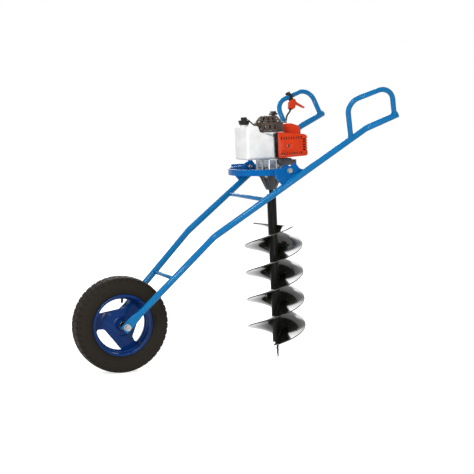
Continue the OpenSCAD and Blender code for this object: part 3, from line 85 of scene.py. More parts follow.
# Wheel and pivot bolts: Z along the axle, to the operator's right
WHEEL = axes(Vector((0, 0, 1)), Vector((1, 0, 0)), ACROSS, AXLE)
BOLT = axes(Vector((0, 0, 1)), Vector((1, 0, 0)), ACROSS, PIVOT)

# Right rail and right handle loop as corner points in metres; the left ones are mirrored
RAIL = (Vector((-0.45706, 0.085, 0.198)), Vector((-0.10006, 0.139, 0.552)),
        Vector((0.51594, 0.29115, 0.990)), Vector((0.64894, 0.324, 1.049)))
LOOP = (Vector((0.45602, 0.27635, 0.94739)), Vector((0.40882, 0.32465, 1.09627)),
        Vector((0.59385, 0.36092, 1.16751)), Vector((0.63543, 0.32066, 1.043)))
RAIL_R = 13.5 * MM
LOOP_R = 11 * MM
BAR_R = 8.5 * MM
# Cross bars: the rail's run that each is on, and the distance along that run
BARS = ((0, 272 * MM), (1, 262 * MM))
# Loop feet: the loop's corner above each foot, the foot's own corner, and the rail's run that it is on
LOOP_FEET = ((1, 0, 1), (2, 3, 2))
# Bracket plates: inner and outer face from the middle, and their foot's reach about the pivot
BRACKET_FACES = (211 * MM, 217 * MM)
BRACKET_FOOT = (-16 * MM, 36 * MM)

# Throttle cable, from the throttle's body to the carburettor, in the row frame
CABLE = (
    (0.4824, 0.3231, 1.0783), (0.4798, 0.3209, 1.0722), (0.4769, 0.3183, 1.0653),
    (0.4739, 0.3157, 1.0583), (0.4509, 0.299, 1.038), (0.4369, 0.278, 1.021),
    (0.4159, 0.246, 1.011), (0.3849, 0.203, 1.006), (0.3529, 0.159, 1.006),
    (0.3239, 0.121, 1.004), (0.2941, 0.084, 0.9826), (0.2948, 0.084, 0.9686),
    (0.2956, 0.084, 0.9526), (0.2959, 0.084, 0.9451),
)
CABLE_R = 4 * MM
# Fuel hose, from the tank's top to the carburettor's nipple, in the drill head
HOSE = (
    (-0.092, 0.044, 0.183), (-0.092, 0.044, 0.190), (-0.092, 0.044, 0.198), (-0.087, 0.052, 0.207),
    (-0.076, 0.063, 0.210), (-0.058, 0.075, 0.203), (-0.034, 0.084, 0.186), (-0.010, 0.089, 0.163),
    (0.014, 0.090, 0.140), (0.034, 0.086, 0.122), (0.049, 0.083, 0.110), (0.054, 0.083, 0.110),
    (0.0589, 0.083, 0.110),
)
HOSE_R = 3 * MM
TANK_TOP = 186 * MM
# Starter rope, in the drill head: behind the crank's axis, from the dome up into the grip
ROPE_X = 24 * MM
ROPE_LOW = 215 * MM
ROPE_HIGH = 233 * MM
ROPE_R = 2 * MM

# Black plate of painted shade across the muffler guard's open front, where the guard's inside is only in shade; in
# the drill head: two opposite corners
SHADE_PLATE_LOW = Vector((2.5, -81.7, 46.5)) * MM
SHADE_PLATE_HIGH = Vector((4, -60, 150.5)) * MM
SHADE_PLATE_CORNER = 4 * MM

# Auger, in the drill head
TUBE_LOW = -752 * MM
TUBE_R = 20 * MM
FLIGHT_LOW = TUBE_LOW + 4 * MM
FLIGHT_R = 125 * MM
FLIGHT_STARTS = 2
FLIGHT_LEAD = 234 * MM
FLIGHT_T = 5 * MM
FLIGHT_TURNS = 77 / 36
FLIGHT_FOOT = 236
PILOT_TOP = TUBE_LOW + 14 * MM
PILOT_LOW = -821.5 * MM
PILOT_R = 6 * MM

# Stage in metres: a wide floor just under the wheel, and soft lamps by name, place, size and watts
FLOOR_R = 60
FLOOR_Z = -0.4 * MM
LAMPS = (
    ("key_softbox", Vector((-3.4, -3.0, 3.6)), 1.4, 165),
    ("fill_softbox", Vector((-0.1, -4.8, 0.45)), 1.2, 48),
    ("back_softbox", Vector((1.5, 3.8, 2.6)), 2.8, 125),
)
LAMPS_AIM = Vector((0.05, 0, 0.55))
CAMERA_PLACE = Vector((-2.05396, -4.6546, 1.0793))
CAMERA_AIM = Vector((0.06624, 0, 0.5318))
SENSOR_MM = 36
# Light from the surround on the object, and the floor's own glow towards the camera
SURROUND_LIGHT = 0.42
FLOOR_GLOW = 0.72


def linear(colour):
    """Linear colour of an sRGB hex value."""
    channels = [int(colour[i:i + 2], 16) / 255 for i in (1, 3, 5)]
    return tuple(c / 12.92 if c <= 0.04045 else ((c + 0.055) / 1.055) ** 2.4 for c in channels)


class AugerSizes(bpy.types.PropertyGroup):
    """Sizes of the fine pieces that a user would change."""

    flight_steps: IntProperty(name="Flight steps", description="Steps in one turn of a flight", default=96)
    line_sides: IntProperty(name="Line sides", description="Sides of the cable, hose and rope", default=20)
    weld_bead: FloatProperty(name="Weld bead", description="Radius of a weld bead", default=2.4 * MM,
                             unit="LENGTH")
    weld_ripple: FloatProperty(name="Weld ripple", description="Length of one ripple of a weld",
                               default=3.2 * MM, unit="LENGTH")
    lug_count: IntProperty(name="Tread lugs", description="Lugs on each shoulder of the tyre", default=46)
    lug_depth: FloatProperty(name="Tread depth", description="Depth of the grooves between the lugs",
                             default=3 * MM, unit="LENGTH")
    thread_pitch: FloatProperty(name="Thread pitch", description="Pitch of the bolts' threads",
                                default=1.75 * MM, unit="LENGTH")
    lens: FloatProperty(name="Lens", description="Focal length of the camera in millimetres", default=92.42)


class AugerColours(bpy.types.PropertyGroup):
    """Colours that a user would change."""

    frame_blue: FloatVectorProperty(name="Frame", description="Powder coat of the frame", subtype="COLOR",
                                    default=linear("#006fab"))
    # The plates' blue is the frame's paint drawn darker: painted shade, not a different paint
    shaded_plate_blue: FloatVectorProperty(name="Plates", description="Powder coat of the hoop and brackets",
                                    subtype="COLOR", default=linear("#0060a6"))
    wheel_blue: FloatVectorProperty(name="Wheel", description="Enamel of the rim and disc", subtype="COLOR",
                                    default=linear("#0c3068"))
    auger_black: FloatVectorProperty(name="Auger", description="Enamel of the auger", subtype="COLOR",
                                     default=linear("#0f100b"))
    cover_orange: FloatVectorProperty(name="Covers", description="Moulded engine covers", subtype="COLOR",
                                      default=linear("#d63c17"))
    tank_white: FloatVectorProperty(name="Tank", description="Blow-moulded tank", subtype="COLOR",
                                    default=linear("#ededec"))
    tyre_black: FloatVectorProperty(name="Tyre", description="Rubber of the tyre", subtype="COLOR",
                                    default=linear("#1f1a13"))
    starter_brown: FloatVectorProperty(name="Starter", description="Moulded starter housings",
                                       subtype="COLOR", default=linear("#4a3f37"))


def sizes():
    """Sizes as the panel has them."""
    return bpy.context.scene.auger_sizes


def colours():
    """Colours as the panel has them."""
    return bpy.context.scene.auger_colours


# Materials

def add_node(tree, kind, inputs=None, stops=(), **settings):
    """Adds a node with its settings, its linked or plain inputs, and the stops of its ramp."""
    node = tree.nodes.new(kind)
    for name, value in settings.items():
        setattr(node, name, value)
    for name, value in (inputs or {}).items():
        if isinstance(value, bpy.types.NodeSocket):
            tree.links.new(value, node.inputs[name])
        else:
            node.inputs[name].default_value = value
    for index, (place, colour) in enumerate(stops):
        elements = node.color_ramp.elements
        stop = elements[index] if index < len(elements) else elements.new(place)
        stop.position = place
        stop.color = (*colour, 1)
    return node


def per_mm(size):
    """Texture scale for a pattern of this size in millimetres."""
    return 1 / (size * MM)


def shade(colour, share):
    """The same colour, darker or lighter."""
    return tuple(min(1, c * share) for c in colour)


def blank_material(name):
    """Empty material, its node tree, and its object's own coordinates in metres."""
    material = bpy.data.materials.new(name)
    material.use_nodes = True
    tree = material.node_tree
    tree.nodes.clear()
    place = add_node(tree, "ShaderNodeTexCoord").outputs["Object"]
    return material, tree, place


def close_material(tree, inputs):
    """Ends a material with one shader that takes these inputs."""
    shader = add_node(tree, "ShaderNodeBsdfPrincipled", inputs)
    add_node(tree, "ShaderNodeOutputMaterial", {"Surface": shader.outputs["BSDF"]})


def painted(name, colour, spread, wave_mm, wave, rough, shine):
    """A paint film: slow drift of tone, waves of one length in its face, and gloss that varies a little."""
    material, tree, place = blank_material(name)
    drift_mm = 70
    drift = add_node(tree, "ShaderNodeTexNoise", {"Vector": place, "Scale": per_mm(drift_mm), "Detail": 3})
    tone = add_node(tree, "ShaderNodeValToRGB", {"Fac": drift.outputs["Fac"]},
                    [(0.3, shade(colour, 1 - spread)), (0.7, shade(colour, 1 + spread))])
    film = add_node(tree, "ShaderNodeTexNoise", {"Vector": place, "Scale": per_mm(wave_mm), "Detail": 2})
    bump = add_node(tree, "ShaderNodeBump",
                    {"Height": film.outputs["Fac"], "Strength": wave, "Distance": 0.3 * MM})
    gloss = add_node(tree, "ShaderNodeMapRange",
                     {"Value": drift.outputs["Fac"], "To Min": rough[0], "To Max": rough[1]})
    close_material(tree, {"Base Color": tone.outputs["Color"], "Roughness": gloss.outputs["Result"],
                          "Normal": bump.outputs["Normal"], "Specular IOR Level": shine})
    return material


def powder_coat():
    # Powder-coated steel tube: deep blue, with a thin bright line of light along each tube
    return painted("powder_coated_steel", colours().frame_blue, 0.05, 24, 0.02, (0.12, 0.17), 0.16)


def shaded_plate_coat():
    # Powder-coated steel plate: the frame's blue drawn darker as painted shade, with little glare on its flat
    # faces
    return painted("powder_coat_painted_shade", colours().shaded_plate_blue, 0.05, 24, 0.02, (0.16, 0.22), 0.07)


def wheel_enamel():
    # Dip-painted pressed steel: a wet gloss with long ripples
    return painted("enamelled_pressed_steel", colours().wheel_blue, 0.1, 14, 0.06, (0.05, 0.1), 0.1)


def auger_enamel():
    # Black enamel on the tube and the point: nearly black, with a soft gloss
    return painted("enamelled_steel_tube", colours().auger_black, 0.2, 12, 0.1, (0.24, 0.36), 0.12)


def flight_enamel():
    # Black enamel on rolled plate: black face on, pale towards its rim, with the plate's own waves
    return painted("enamelled_rolled_plate", colours().auger_black, 0.25, 30, 0.16, (0.08, 0.15), 0.62)


def black_oxide():
    # Blackened turned steel of the axle's spacers: dark and half dull
    return painted("black_oxide_steel", linear("#181817"), 0.2, 1.5, 0.1, (0.35, 0.5), 0.3)


def dark_casting():
    # Casting under grey paint: the casting's skin shows through the film
    return painted("painted_casting", linear("#434346"), 0.12, 2.2, 0.6, (0.38, 0.52), 0.35)


def moulded(name, colour, grain_mm, grain, rough, extra=None):
    """Moulded plastic or rubber: a tool's grain in the skin, and faint flow in the colour."""
    material, tree, place = blank_material(name)
    flow_mm = 40
    flow = add_node(tree, "ShaderNodeTexNoise", {"Vector": place, "Scale": per_mm(flow_mm), "Detail": 4})
    tone = add_node(tree, "ShaderNodeValToRGB", {"Fac": flow.outputs["Fac"]},
                    [(0.3, shade(colour, 0.93)), (0.7, shade(colour, 1.06))])
    pits = add_node(tree, "ShaderNodeTexVoronoi", {"Vector": place, "Scale": per_mm(grain_mm)},
                    feature="SMOOTH_F1")
    bump = add_node(tree, "ShaderNodeBump",
                    {"Height": pits.outputs["Distance"], "Strength": grain, "Distance": 0.25 * MM})
    gloss = add_node(tree, "ShaderNodeMapRange",
                     {"Value": flow.outputs["Fac"], "To Min": rough[0], "To Max": rough[1]})
    close_material(tree, {"Base Color": tone.outputs["Color"], "Roughness": gloss.outputs["Result"],
                          "Normal": bump.outputs["Normal"], **(extra or {})})
    return material


def cover_nylon():
    # Moulded nylon covers: bright gloss with a hint of grain
    return moulded("moulded_nylon_orange", colours().cover_orange, 1.6, 0.06, (0.24, 0.34),
                   {"Specular IOR Level": 0.14})


def tank_polyethylene():
    # Blow-moulded polyethylene: waxy, and light goes a little way in
    return moulded("blow_moulded_polyethylene", colours().tank_white, 2.4, 0.1, (0.34, 0.46),
                   {"IOR": 1.54, "Subsurface Weight": 0.2, "Subsurface Radius": (1, 0.9, 0.8),
                    "Subsurface Scale": 4 * MM})


def black_nylon():
    # Spark-eroded black nylon: the grain is drawn at 1.2 mm so that it shows
    return moulded("grained_black_nylon", linear("#1f1e1c"), 1.2, 0.2, (0.4, 0.55),
                   {"Specular IOR Level": 0.16})


def starter_nylon():
    # Glass-filled nylon of the starter housings: warm dark grey, with a dry sheen
    return moulded("glass_filled_nylon", colours().starter_brown, 1.4, 0.25, (0.38, 0.52),
                   {"Specular IOR Level": 0.18})


def soft_rubber():
    # Extruded rubber and cable sheath: smooth and half dull
    return moulded("extruded_rubber", linear("#161513"), 3, 0.05, (0.42, 0.56),
                   {"Specular IOR Level": 0.16})


def primer_silicone():
    # Pressed silicone of the primer bulb: clear red that glows at its edge
    return moulded("pressed_silicone", linear("#a53226"), 4, 0.03, (0.2, 0.3),
                   {"Subsurface Weight": 0.5, "Subsurface Radius": (1, 0.3, 0.2),
                    "Subsurface Scale": 3 * MM})


def tyre_rubber():
    # Vulcanised tyre rubber: matt, pebbled, with a brown bloom
    return moulded("vulcanised_rubber", colours().tyre_black, 2.2, 0.3, (0.55, 0.75),
                   {"Specular IOR Level": 0.14})


def metal(name, dark, light, grain_mm, grain, rough):
    """Bare metal: two tones that drift, and a grain that scatters the highlight."""
    material, tree, place = blank_material(name)
    drift_mm = 14
    drift = add_node(tree, "ShaderNodeTexNoise", {"Vector": place, "Scale": per_mm(drift_mm), "Detail": 5})
    tone = add_node(tree, "ShaderNodeValToRGB", {"Fac": drift.outputs["Fac"]},
                    [(0.32, linear(dark)), (0.68, linear(light))])
    sand = add_node(tree, "ShaderNodeTexNoise", {"Vector": place, "Scale": per_mm(grain_mm), "Detail": 3})
    bump = add_node(tree, "ShaderNodeBump",
                    {"Height": sand.outputs["Fac"], "Strength": grain, "Distance": 0.3 * MM})
    gloss = add_node(tree, "ShaderNodeMapRange",
                     {"Value": sand.outputs["Fac"], "To Min": rough[0], "To Max": rough[1]})
    close_material(tree, {"Base Color": tone.outputs["Color"], "Metallic": 1.0,
                          "Roughness": gloss.outputs["Result"], "Normal": bump.outputs["Normal"]})
    return material


def zinc_plate():
    # Zinc-plated steel: bright, with a faint yellow and blue passivation
    return metal("zinc_plated_steel", "#868b93", "#b3b1a7", 2, 0.08, (0.24, 0.4))


def cast_aluminium():
    # Die-cast aluminium: pale, with the sandy skin of the die
    return metal("die_cast_aluminium", "#a9abac", "#c9cbcc", 1.8, 0.35, (0.38, 0.56))


def muffler_steel():
    # Heat-stained steel sheet: brown and blue where it runs hot
    return metal("heat_stained_steel", "#4b4541", "#7d7264", 2.5, 0.12, (0.36, 0.52))


def braided_cord():
    # Braided polyester cord: two sets of strands that cross, drawn 3 mm wide so that they show
    material, tree, place = blank_material("braided_polyester")
    strand_mm = 3
    slant = 0.6
    # Length of one wave of Blender's wave texture at a scale of 1
    wave = math.pi / 10
    strands = []
    for turn in (slant, -slant):
        turned = add_node(tree, "ShaderNodeMapping", {"Vector": place, "Rotation": (0, turn, 0)})
        strands.append(add_node(tree, "ShaderNodeTexWave", {"Vector": turned.outputs["Vector"],
                                                            "Scale": wave * per_mm(strand_mm)}))
    weave = add_node(tree, "ShaderNodeMath", {0: strands[0].outputs["Fac"], 1: strands[1].outputs["Fac"]},
                     operation="MAXIMUM")
    tone = add_node(tree, "ShaderNodeValToRGB", {"Fac": weave.outputs["Value"]},
                    [(0.2, linear("#8f8a7d")), (0.8, linear("#d9d5c8"))])
    bump = add_node(tree, "ShaderNodeBump",
                    {"Height": weave.outputs["Value"], "Strength": 0.5, "Distance": 0.3 * MM})
    close_material(tree, {"Base Color": tone.outputs["Color"], "Roughness": 0.75,
                          "Normal": bump.outputs["Normal"]})
    return material


FINISHES = {
    "frame_paint": powder_coat, "plate_paint_with_painted_shade": shaded_plate_coat, "wheel_paint": wheel_enamel,
    "auger_paint": auger_enamel, "flight_paint": flight_enamel, "zinc_steel": zinc_plate,
    "black_steel": black_oxide, "muffler_steel": muffler_steel, "cast_aluminium": cast_aluminium,
    "dark_casting": dark_casting, "black_plastic": black_nylon, "orange_plastic": cover_nylon,
    "tank_plastic": tank_polyethylene, "starter_plastic": starter_nylon, "starter_cord": braided_cord,
    "tyre_rubber": tyre_rubber, "soft_rubber": soft_rubber, "primer_rubber": primer_silicone,
}
MADE = {}


def finish(look):
    """Material of one of the record's slots, of the plates with painted shade or of the flights, made when first
    asked for.
    """
    if look not in MADE:
        MADE[look] = FINISHES[look]()
    return MADE[look]


# Shapes

def new_shape():
    """Points and faces of a shape, still empty."""
    return {"points": [], "faces": []}


def polar(radius, angle, height):
    """Point at a radius and an angle about Z."""
    return Vector((radius * math.cos(angle), radius * math.sin(angle), height))


def add_grid(shape, rows, ring=False):
    """Skins round rows of points, which make a ring themselves or are closed at the two ends."""
    first = len(shape["points"])
    wide = len(rows[0])
    for row in rows:
        shape["points"].extend(row)
    for i in range(len(rows) if ring else len(rows) - 1):
        a = first + i * wide
        b = first + (i + 1) % len(rows) * wide
        for k in range(wide):
            n = (k + 1) % wide
            shape["faces"].append((a + k, a + n, b + n, b + k))
    if not ring:
        last = first + (len(rows) - 1) * wide
        shape["faces"].append(tuple(range(first + wide - 1, first - 1, -1)))
        shape["faces"].append(tuple(range(last, last + wide)))


def add_turned(shape, outline, place, steps):
    """Turns a line of (radius, height) about the place's Z axis."""
    add_grid(shape, [[place @ polar(radius, math.tau * k / steps, height) for k in range(steps)]
                     for radius, height in outline])


def add_sweep(shape, line, radius, sides, closed=False):
    """Round line of points; radius is one value or one for each point."""
    count = len(line)
    side = None
    rows = []
    for i, point in enumerate(line):
        before = line[i - 1] if i or closed else line[0]
        after = line[(i + 1) % count] if i < count - 1 or closed else line[-1]
        ahead = (after - before).normalized()
        side = (ahead.orthogonal() if side is None else side - ahead * side.dot(ahead)).normalized()
        over = ahead.cross(side)
        r = radius[i] if isinstance(radius, list) else radius
        row = []
        for k in range(sides):
            turn = math.tau * k / sides
            row.append(point + (side * math.cos(turn) + over * math.sin(turn)) * r)
        rows.append(row)
    add_grid(shape, rows, ring=closed)


def add_plate(shape, place, low, high, corner):
    """Flat plate across X with round corners."""
    steps = 6
    outline = []
    middles = ((high.y - corner, high.z - corner), (low.y + corner, high.z - corner),
               (low.y + corner, low.z + corner), (high.y - corner, low.z + corner))
    for quarter, (y, z) in enumerate(middles):
        for k in range(steps + 1):
            turn = math.pi / 2 * (quarter + k / steps)
            outline.append((y + corner * math.cos(turn), z + corner * math.sin(turn)))
    add_grid(shape, [[place @ Vector((x, y, z)) for y, z in outline] for x in (low.x, high.x)])


def smooth_line(points, steps):
    """Smooth line through points, with a few steps between each two."""
    line = []
    for i in range(len(points) - 1):
        a, b = points[max(i - 1, 0)], points[i]
        c, d = points[i + 1], points[min(i + 2, len(points) - 1)]
        for k in range(steps):
            t = k / steps
            line.append(0.5 * (2 * b + (c - a) * t + (2 * a - 5 * b + 4 * c - d) * t * t
                               + (3 * b - a - 3 * c + d) * t ** 3))
    return line + [points[-1]]


def make_piece(name, shape, slot, body=None, replaces=(), sharp=38, look=None):
    """Turns a shape into a piece with its finish, its body and the nodes that it stands for."""
    mesh = bpy.data.meshes.new(name)
    mesh.from_pydata([tuple(p) for p in shape["points"]], [], shape["faces"])
    work = bmesh.new()
    work.from_mesh(mesh)
    bmesh.ops.remove_doubles(work, verts=work.verts, dist=1e-7)
    bmesh.ops.recalc_face_normals(work, faces=work.faces)
    work.to_mesh(mesh)
    work.free()
    mesh.shade_smooth()
    mesh.set_sharp_from_angle(angle=math.radians(sharp))
    mesh.materials.append(finish(look or slot))
    piece = bpy.data.objects.new(name, mesh)
    bpy.context.scene.collection.objects.link(piece)
    if body:
        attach(piece, body)
    if replaces:
        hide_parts(*replaces)
    return piece


# Wheel

def tyre_profile(radius, half, bead):
    """Right half of the tyre's outside, from the middle of the tread to the bead: (y, r, lugged) rows."""
    drawn_half = 48 * MM
    bead_half = 35.1 * MM
    # Distance from the middle and drop below the tread, in millimetres
    tread = [(0, 0), (3.4, 0.1), (4.2, 3.4), (7.6, 3.4), (8.4, 0.3), (13, 0.5), (17.5, 0.7)]
    shoulder = [(18.5, 0.8), (24, 1.2), (29, 1.8), (33, 2.6), (36, 3.8), (38.6, 5.8), (40.6, 8.4),
                (42.4, 12), (43.8, 16)]
    wall = [(44.6, 18), (46.4, 24), (47.6, 30), (48, 35), (48.5, 35.6), (48.5, 37.4), (48, 38),
            (47.9, 44), (47.2, 50), (46.8, 52), (47.3, 52.6), (47.1, 54.2), (46, 54.8), (44, 60),
            (42, 63.5), (42.2, 64.4), (41, 65.6), (39, 67), (36.6, 69), (35.4, 71)]
    rows = []
    for part, lugged in ((tread, False), (shoulder, True), (wall, False)):
        rows += [(y * MM * half / drawn_half, radius - drop * MM, lugged) for y, drop in part]
    return rows + [(bead_half, bead, False)]


def lug_stations():
    """Places along one lug as shares of its pitch, each with 1 in the groove and 0 on the land."""
    groove = 0.11
    wall = 0.014
    land = 1 - 2 * (groove + wall)
    steps = 6
    stations = [(-groove - wall, 0), (-groove + wall, 1), (0, 1), (groove - wall, 1), (groove + wall, 0)]
    return stations + [(groove + wall + land * k / steps, 0) for k in range(1, steps)]


def lug_lean(y):
    """How far the tread's pattern runs ahead at this width, as a share of the pitch."""
    middle = 0.25 * max(-1, min(1, y / (8 * MM)))
    shoulder = 0.22 * max(0, abs(y) - 12 * MM) / (32 * MM)
    return middle + math.copysign(shoulder, y)


def grooved(y, r):
    """Place of a shoulder's point in a groove: in from the tread, and near the wall in from the side too."""
    depth = sizes().lug_depth
    side_depth = depth * 0.5 * max(0, abs(y) - 30 * MM) / (14 * MM)
    return y - math.copysign(side_depth, y), r - depth * 0.85


def tyre_shape():
    """Section of the tyre carried round the wheel, with grooves between the lugs of its shoulders."""
    low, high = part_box("tyre")
    rim_low, rim_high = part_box("rim")
    rim_flange = 7.9 * MM
    radius = (high.z - low.z) / 2
    half = (high.y - low.y) / 2
    bead = (rim_high.z - rim_low.z) / 2 - rim_flange
    right = tyre_profile(radius, half, bead)
    left = [(-y, r, lugged) for y, r, lugged in reversed(right[1:])]
    # Inside: distance from the middle and depth below the tread, in millimetres
    cavity = [(26, 62), (38, 44), (38, 24), (28, 15), (0, 9)]
    inside = [(26 * MM, bead, False)] + [(y * MM, radius - depth * MM, False) for y, depth in cavity]
    inner = inside + [(-y, r, lugged) for y, r, lugged in reversed(inside[:-1])]
    lugs = sizes().lug_count
    rows = []
    for lug in range(lugs):
        for share, cut in lug_stations():
            row = []
            for y, r, lugged in left + right + inner:
                turn = math.tau * (lug + share + lug_lean(y)) / lugs
                out, reach = grooved(y, r) if cut and lugged else (y, r)
                row.append(WHEEL @ polar(reach, turn, out))
            rows.append(row)
    shape = new_shape()
    add_grid(shape, rows, ring=True)
    return shape


class AUGER_OT_tyre(bpy.types.Operator):
    """Tyre with shoulder lugs, two ring grooves and ribbed sidewalls"""

    bl_idname = "auger.tyre"
    bl_label = "Tyre"

    def execute(self, context):
        make_piece("tyre_with_tread", tyre_shape(), "tyre_rubber", "wheel", ["tyre"], sharp=32)
        return {"FINISHED"}


class AUGER_OT_seals(bpy.types.Operator):
    """Rubber seals in the faces of the hub's two bearings"""

    bl_idname = "auger.seals"
    bl_label = "Bearing seals"

    def execute(self, context):
        low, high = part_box("hub_bearings")
        race_in = 12.9 * MM
        race_out = 17.2 * MM
        lip = 0.6 * MM
        proud = 0.25 * MM
        seals = new_shape()
        for face, side in ((low.y, -1), (high.y, 1)):
            crown = face + side * proud
            add_turned(seals, [(race_in, face), (race_in + lip, crown), (race_out - lip, crown),
                               (race_out, face)], WHEEL, 64)
        make_piece("bearing_seals", seals, "soft_rubber", "wheel")
        return {"FINISHED"}


# Auger

def flight_place(start, turns, radius, height):
    """Point of one flight, at a number of turns up from its foot."""
    angle = math.radians(FLIGHT_FOOT) + math.tau * (turns + start / FLIGHT_STARTS)
    return HEAD @ polar(radius, angle, FLIGHT_LOW + FLIGHT_LEAD * turns + height)


def flight_shape():
    """Spiral flights with eased rims; each foot is ground to a cutting edge."""
    count = round(FLIGHT_TURNS * sizes().flight_steps)
    # Turns over which a foot is ground, and the share of the plate that its edge keeps
    ground = 1 / 32
    edge = 0.25
    rim = 1.2 * MM
    lanes = 6
    radii = [TUBE_R + (FLIGHT_R - rim - TUBE_R) * k / lanes for k in range(lanes + 1)]
    # Rim: distance in from the full radius in millimetres, and share of the thickness
    rim_steps = ((0.35, 0.15), (0, 0.35), (0, 0.65), (0.35, 0.85))
    shape = new_shape()
    for start in range(FLIGHT_STARTS):
        rows = []
        for i in range(count + 1):
            turns = FLIGHT_TURNS * i / count
            low = FLIGHT_T * (1 - edge) * (1 - min(1, turns / ground))
            thick = FLIGHT_T - low
            section = [(r, low) for r in radii]
            section += [(FLIGHT_R - inset * MM, low + share * thick) for inset, share in rim_steps]
            section += [(r, FLIGHT_T) for r in reversed(radii)]
            rows.append([flight_place(start, turns, r, z) for r, z in section])
        add_grid(shape, rows)
    return shape


def flight_welds_shape():
    """Beads along the top and the underside of each flight, where it meets the tube."""
    count = round(FLIGHT_TURNS * sizes().flight_steps * 2)
    bead = 2.6 * MM
    ripple = 0.14
    ripple_steps = 4
    lift = 0.4 * MM
    clear = 4
    shape = new_shape()
    for start in range(FLIGHT_STARTS):
        for height in (-lift, FLIGHT_T + lift):
            line = [flight_place(start, FLIGHT_TURNS * i / count, TUBE_R, height)
                    for i in range(clear, count - clear + 1)]
            radii = [bead * (1 - ripple + ripple * abs(math.sin(math.pi * i / ripple_steps)))
                     for i in range(len(line))]
            add_sweep(shape, line, radii, 8)
    return shape


def pilot_shape():
    """Twisted point: a core with a slim right-hand spiral round it."""
    rings = 160
    sides = 32
    turns = 3.5
    ridge_h = 2 * MM
    neck_r = PILOT_R - MM
    # Shares of the length: plain neck and drawn tip. Shares of the radius: lost to the taper, kept by the tip
    neck = 0.2
    tip = 0.03
    taper = 0.55
    blunt = 0.3
    rows = []
    for i in range(rings + 1):
        share = i / rings
        way = max(0, share - neck) / (1 - neck)
        height = PILOT_TOP + (PILOT_LOW - PILOT_TOP) * share
        row = []
        for k in range(sides):
            angle = math.tau * k / sides
            ridge = max(0, math.cos(angle - math.tau * turns * way)) ** 3
            r = neck_r
            if share > neck:
                r = (PILOT_R - ridge_h + ridge_h * ridge) * (1 - taper * way ** 3)
            if share > 1 - tip:
                r *= blunt + (1 - blunt) * (1 - share) / tip
            row.append(HEAD @ polar(r, angle, height))
        rows.append(row)
    shape = new_shape()
    add_grid(shape, rows)
    return shape


class AUGER_OT_auger(bpy.types.Operator):
    """Smooth flights with ground feet, their weld beads and the twisted pilot point"""

    bl_idname = "auger.auger"
    bl_label = "Auger"

    def execute(self, context):
        make_piece("flight_spirals", flight_shape(), "auger_paint", "auger", ["auger_flight"],
                   look="flight_paint")
        make_piece("flight_welds", flight_welds_shape(), "auger_paint", "auger", sharp=180)
        make_piece("pilot_twist", pilot_shape(), "auger_paint", "auger", ["pilot_point"])
        return {"FINISHED"}


# Lines

def cable_piece(sides):
    """Cable sheath with a crimped ferrule near each end, from the frame to the drill head."""
    cable = new_shape()
    route = smooth_line([Vector(p) for p in CABLE], 10)
    add_sweep(cable, route, CABLE_R, sides)
    crimp = (1.02, 1.32, 1.34, 1.2, 1.34, 1.32, 1.02)
    crimp_start = 8
    for end, step in ((0, 1), (len(route) - 1, -1)):
        run = [route[end + step * (crimp_start + 2 * k)] for k in range(len(crimp))]
        add_sweep(cable, run, [CABLE_R * swell for swell in crimp], sides)
    piece = make_piece("cable_sheath", cable, "soft_rubber", None, ["throttle_cable"])
    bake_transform(piece)


def hose_piece(sides):
    """Fuel hose with the grommet where it leaves the tank."""
    hose = new_shape()
    add_sweep(hose, smooth_line([HEAD @ Vector(p) for p in HOSE], 8), HOSE_R, sides)
    grommet = ((2.6, 0.05), (6, 0.05), (6.2, 0.8), (5.8, 2.2), (4.6, 3), (2.6, 3))
    place = HEAD @ Matrix.Translation((HOSE[0][0], HOSE[0][1], TANK_TOP))
    add_turned(hose, [(r * MM, z * MM) for r, z in grommet], place, 32)
    make_piece("fuel_line", hose, "soft_rubber", "drill_head", ["fuel_hose"])


def rope_piece(sides):
    """Starter rope, swelling with its lay."""
    rope = new_shape()
    steps = 48
    lay = 6
    swell = 0.06
    rise = [HEAD @ Vector((ROPE_X, 0, ROPE_LOW + (ROPE_HIGH - ROPE_LOW) * k / steps))
            for k in range(steps + 1)]
    add_sweep(rope, rise, [ROPE_R * (1 - swell + swell * math.cos(math.tau * k / lay))
                           for k in range(steps + 1)], sides)
    piece = make_piece("rope_braid", rope, "starter_cord", None, ["starter_rope"], sharp=180)
    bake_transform(piece)


class AUGER_OT_lines(bpy.types.Operator):
    """Throttle cable, fuel hose with its grommet, and starter rope"""

    bl_idname = "auger.lines"
    bl_label = "Cable, hose and rope"

    def execute(self, context):
        for make in (cable_piece, hose_piece, rope_piece):
            make(sizes().line_sides)
        return {"FINISHED"}


# Engine

class AUGER_OT_painted_shade(bpy.types.Operator):
    """Black plate of painted shade across the guard's open front, standing in for the shade inside the guard"""

    bl_idname = "auger.liner"
    bl_label = "Painted shade in the guard"

    def execute(self, context):
        shade_sheet = new_shape()
        add_plate(shade_sheet, HEAD, SHADE_PLATE_LOW, SHADE_PLATE_HIGH, SHADE_PLATE_CORNER)
        # The black plate is painted shade: there is no plate there, only the shaded inside of the guard
        make_piece("guard_painted_shade", shade_sheet, "black_plastic", "drill_head")
        return {"FINISHED"}


# Welds

def reach_of_tube(start, way, point, along, radius):
    """Where a ray meets the near side of a round tube."""
    out = start - point
    out = out - along * out.dot(along)
    run = way - along * way.dot(along)
    a = run.dot(run)
    b = 2 * out.dot(run)
    c = out.dot(out) - radius * radius
    root = b * b - 4 * a * c
    if root < 0:
        raise ValueError("a welded piece misses the tube that carries it")
    return start + way * (-b - math.sqrt(root)) / (2 * a)


def add_bead(shape, line, closed, gaps=None):
    """Rippled weld bead along points about half a millimetre apart, thicker where it fills a gap."""
    bead = sizes().weld_bead
    ripple = 0.16
    fill = 0.4
    run = 0
    radii = []
    for i, point in enumerate(line):
        run += (point - line[i - 1]).length if i else 0
        radii.append(bead * (1 - ripple + ripple * abs(math.sin(math.pi * run / sizes().weld_ripple))))
        if gaps:
            radii[i] += fill * gaps[i]
    add_sweep(shape, line, radii, 8, closed)


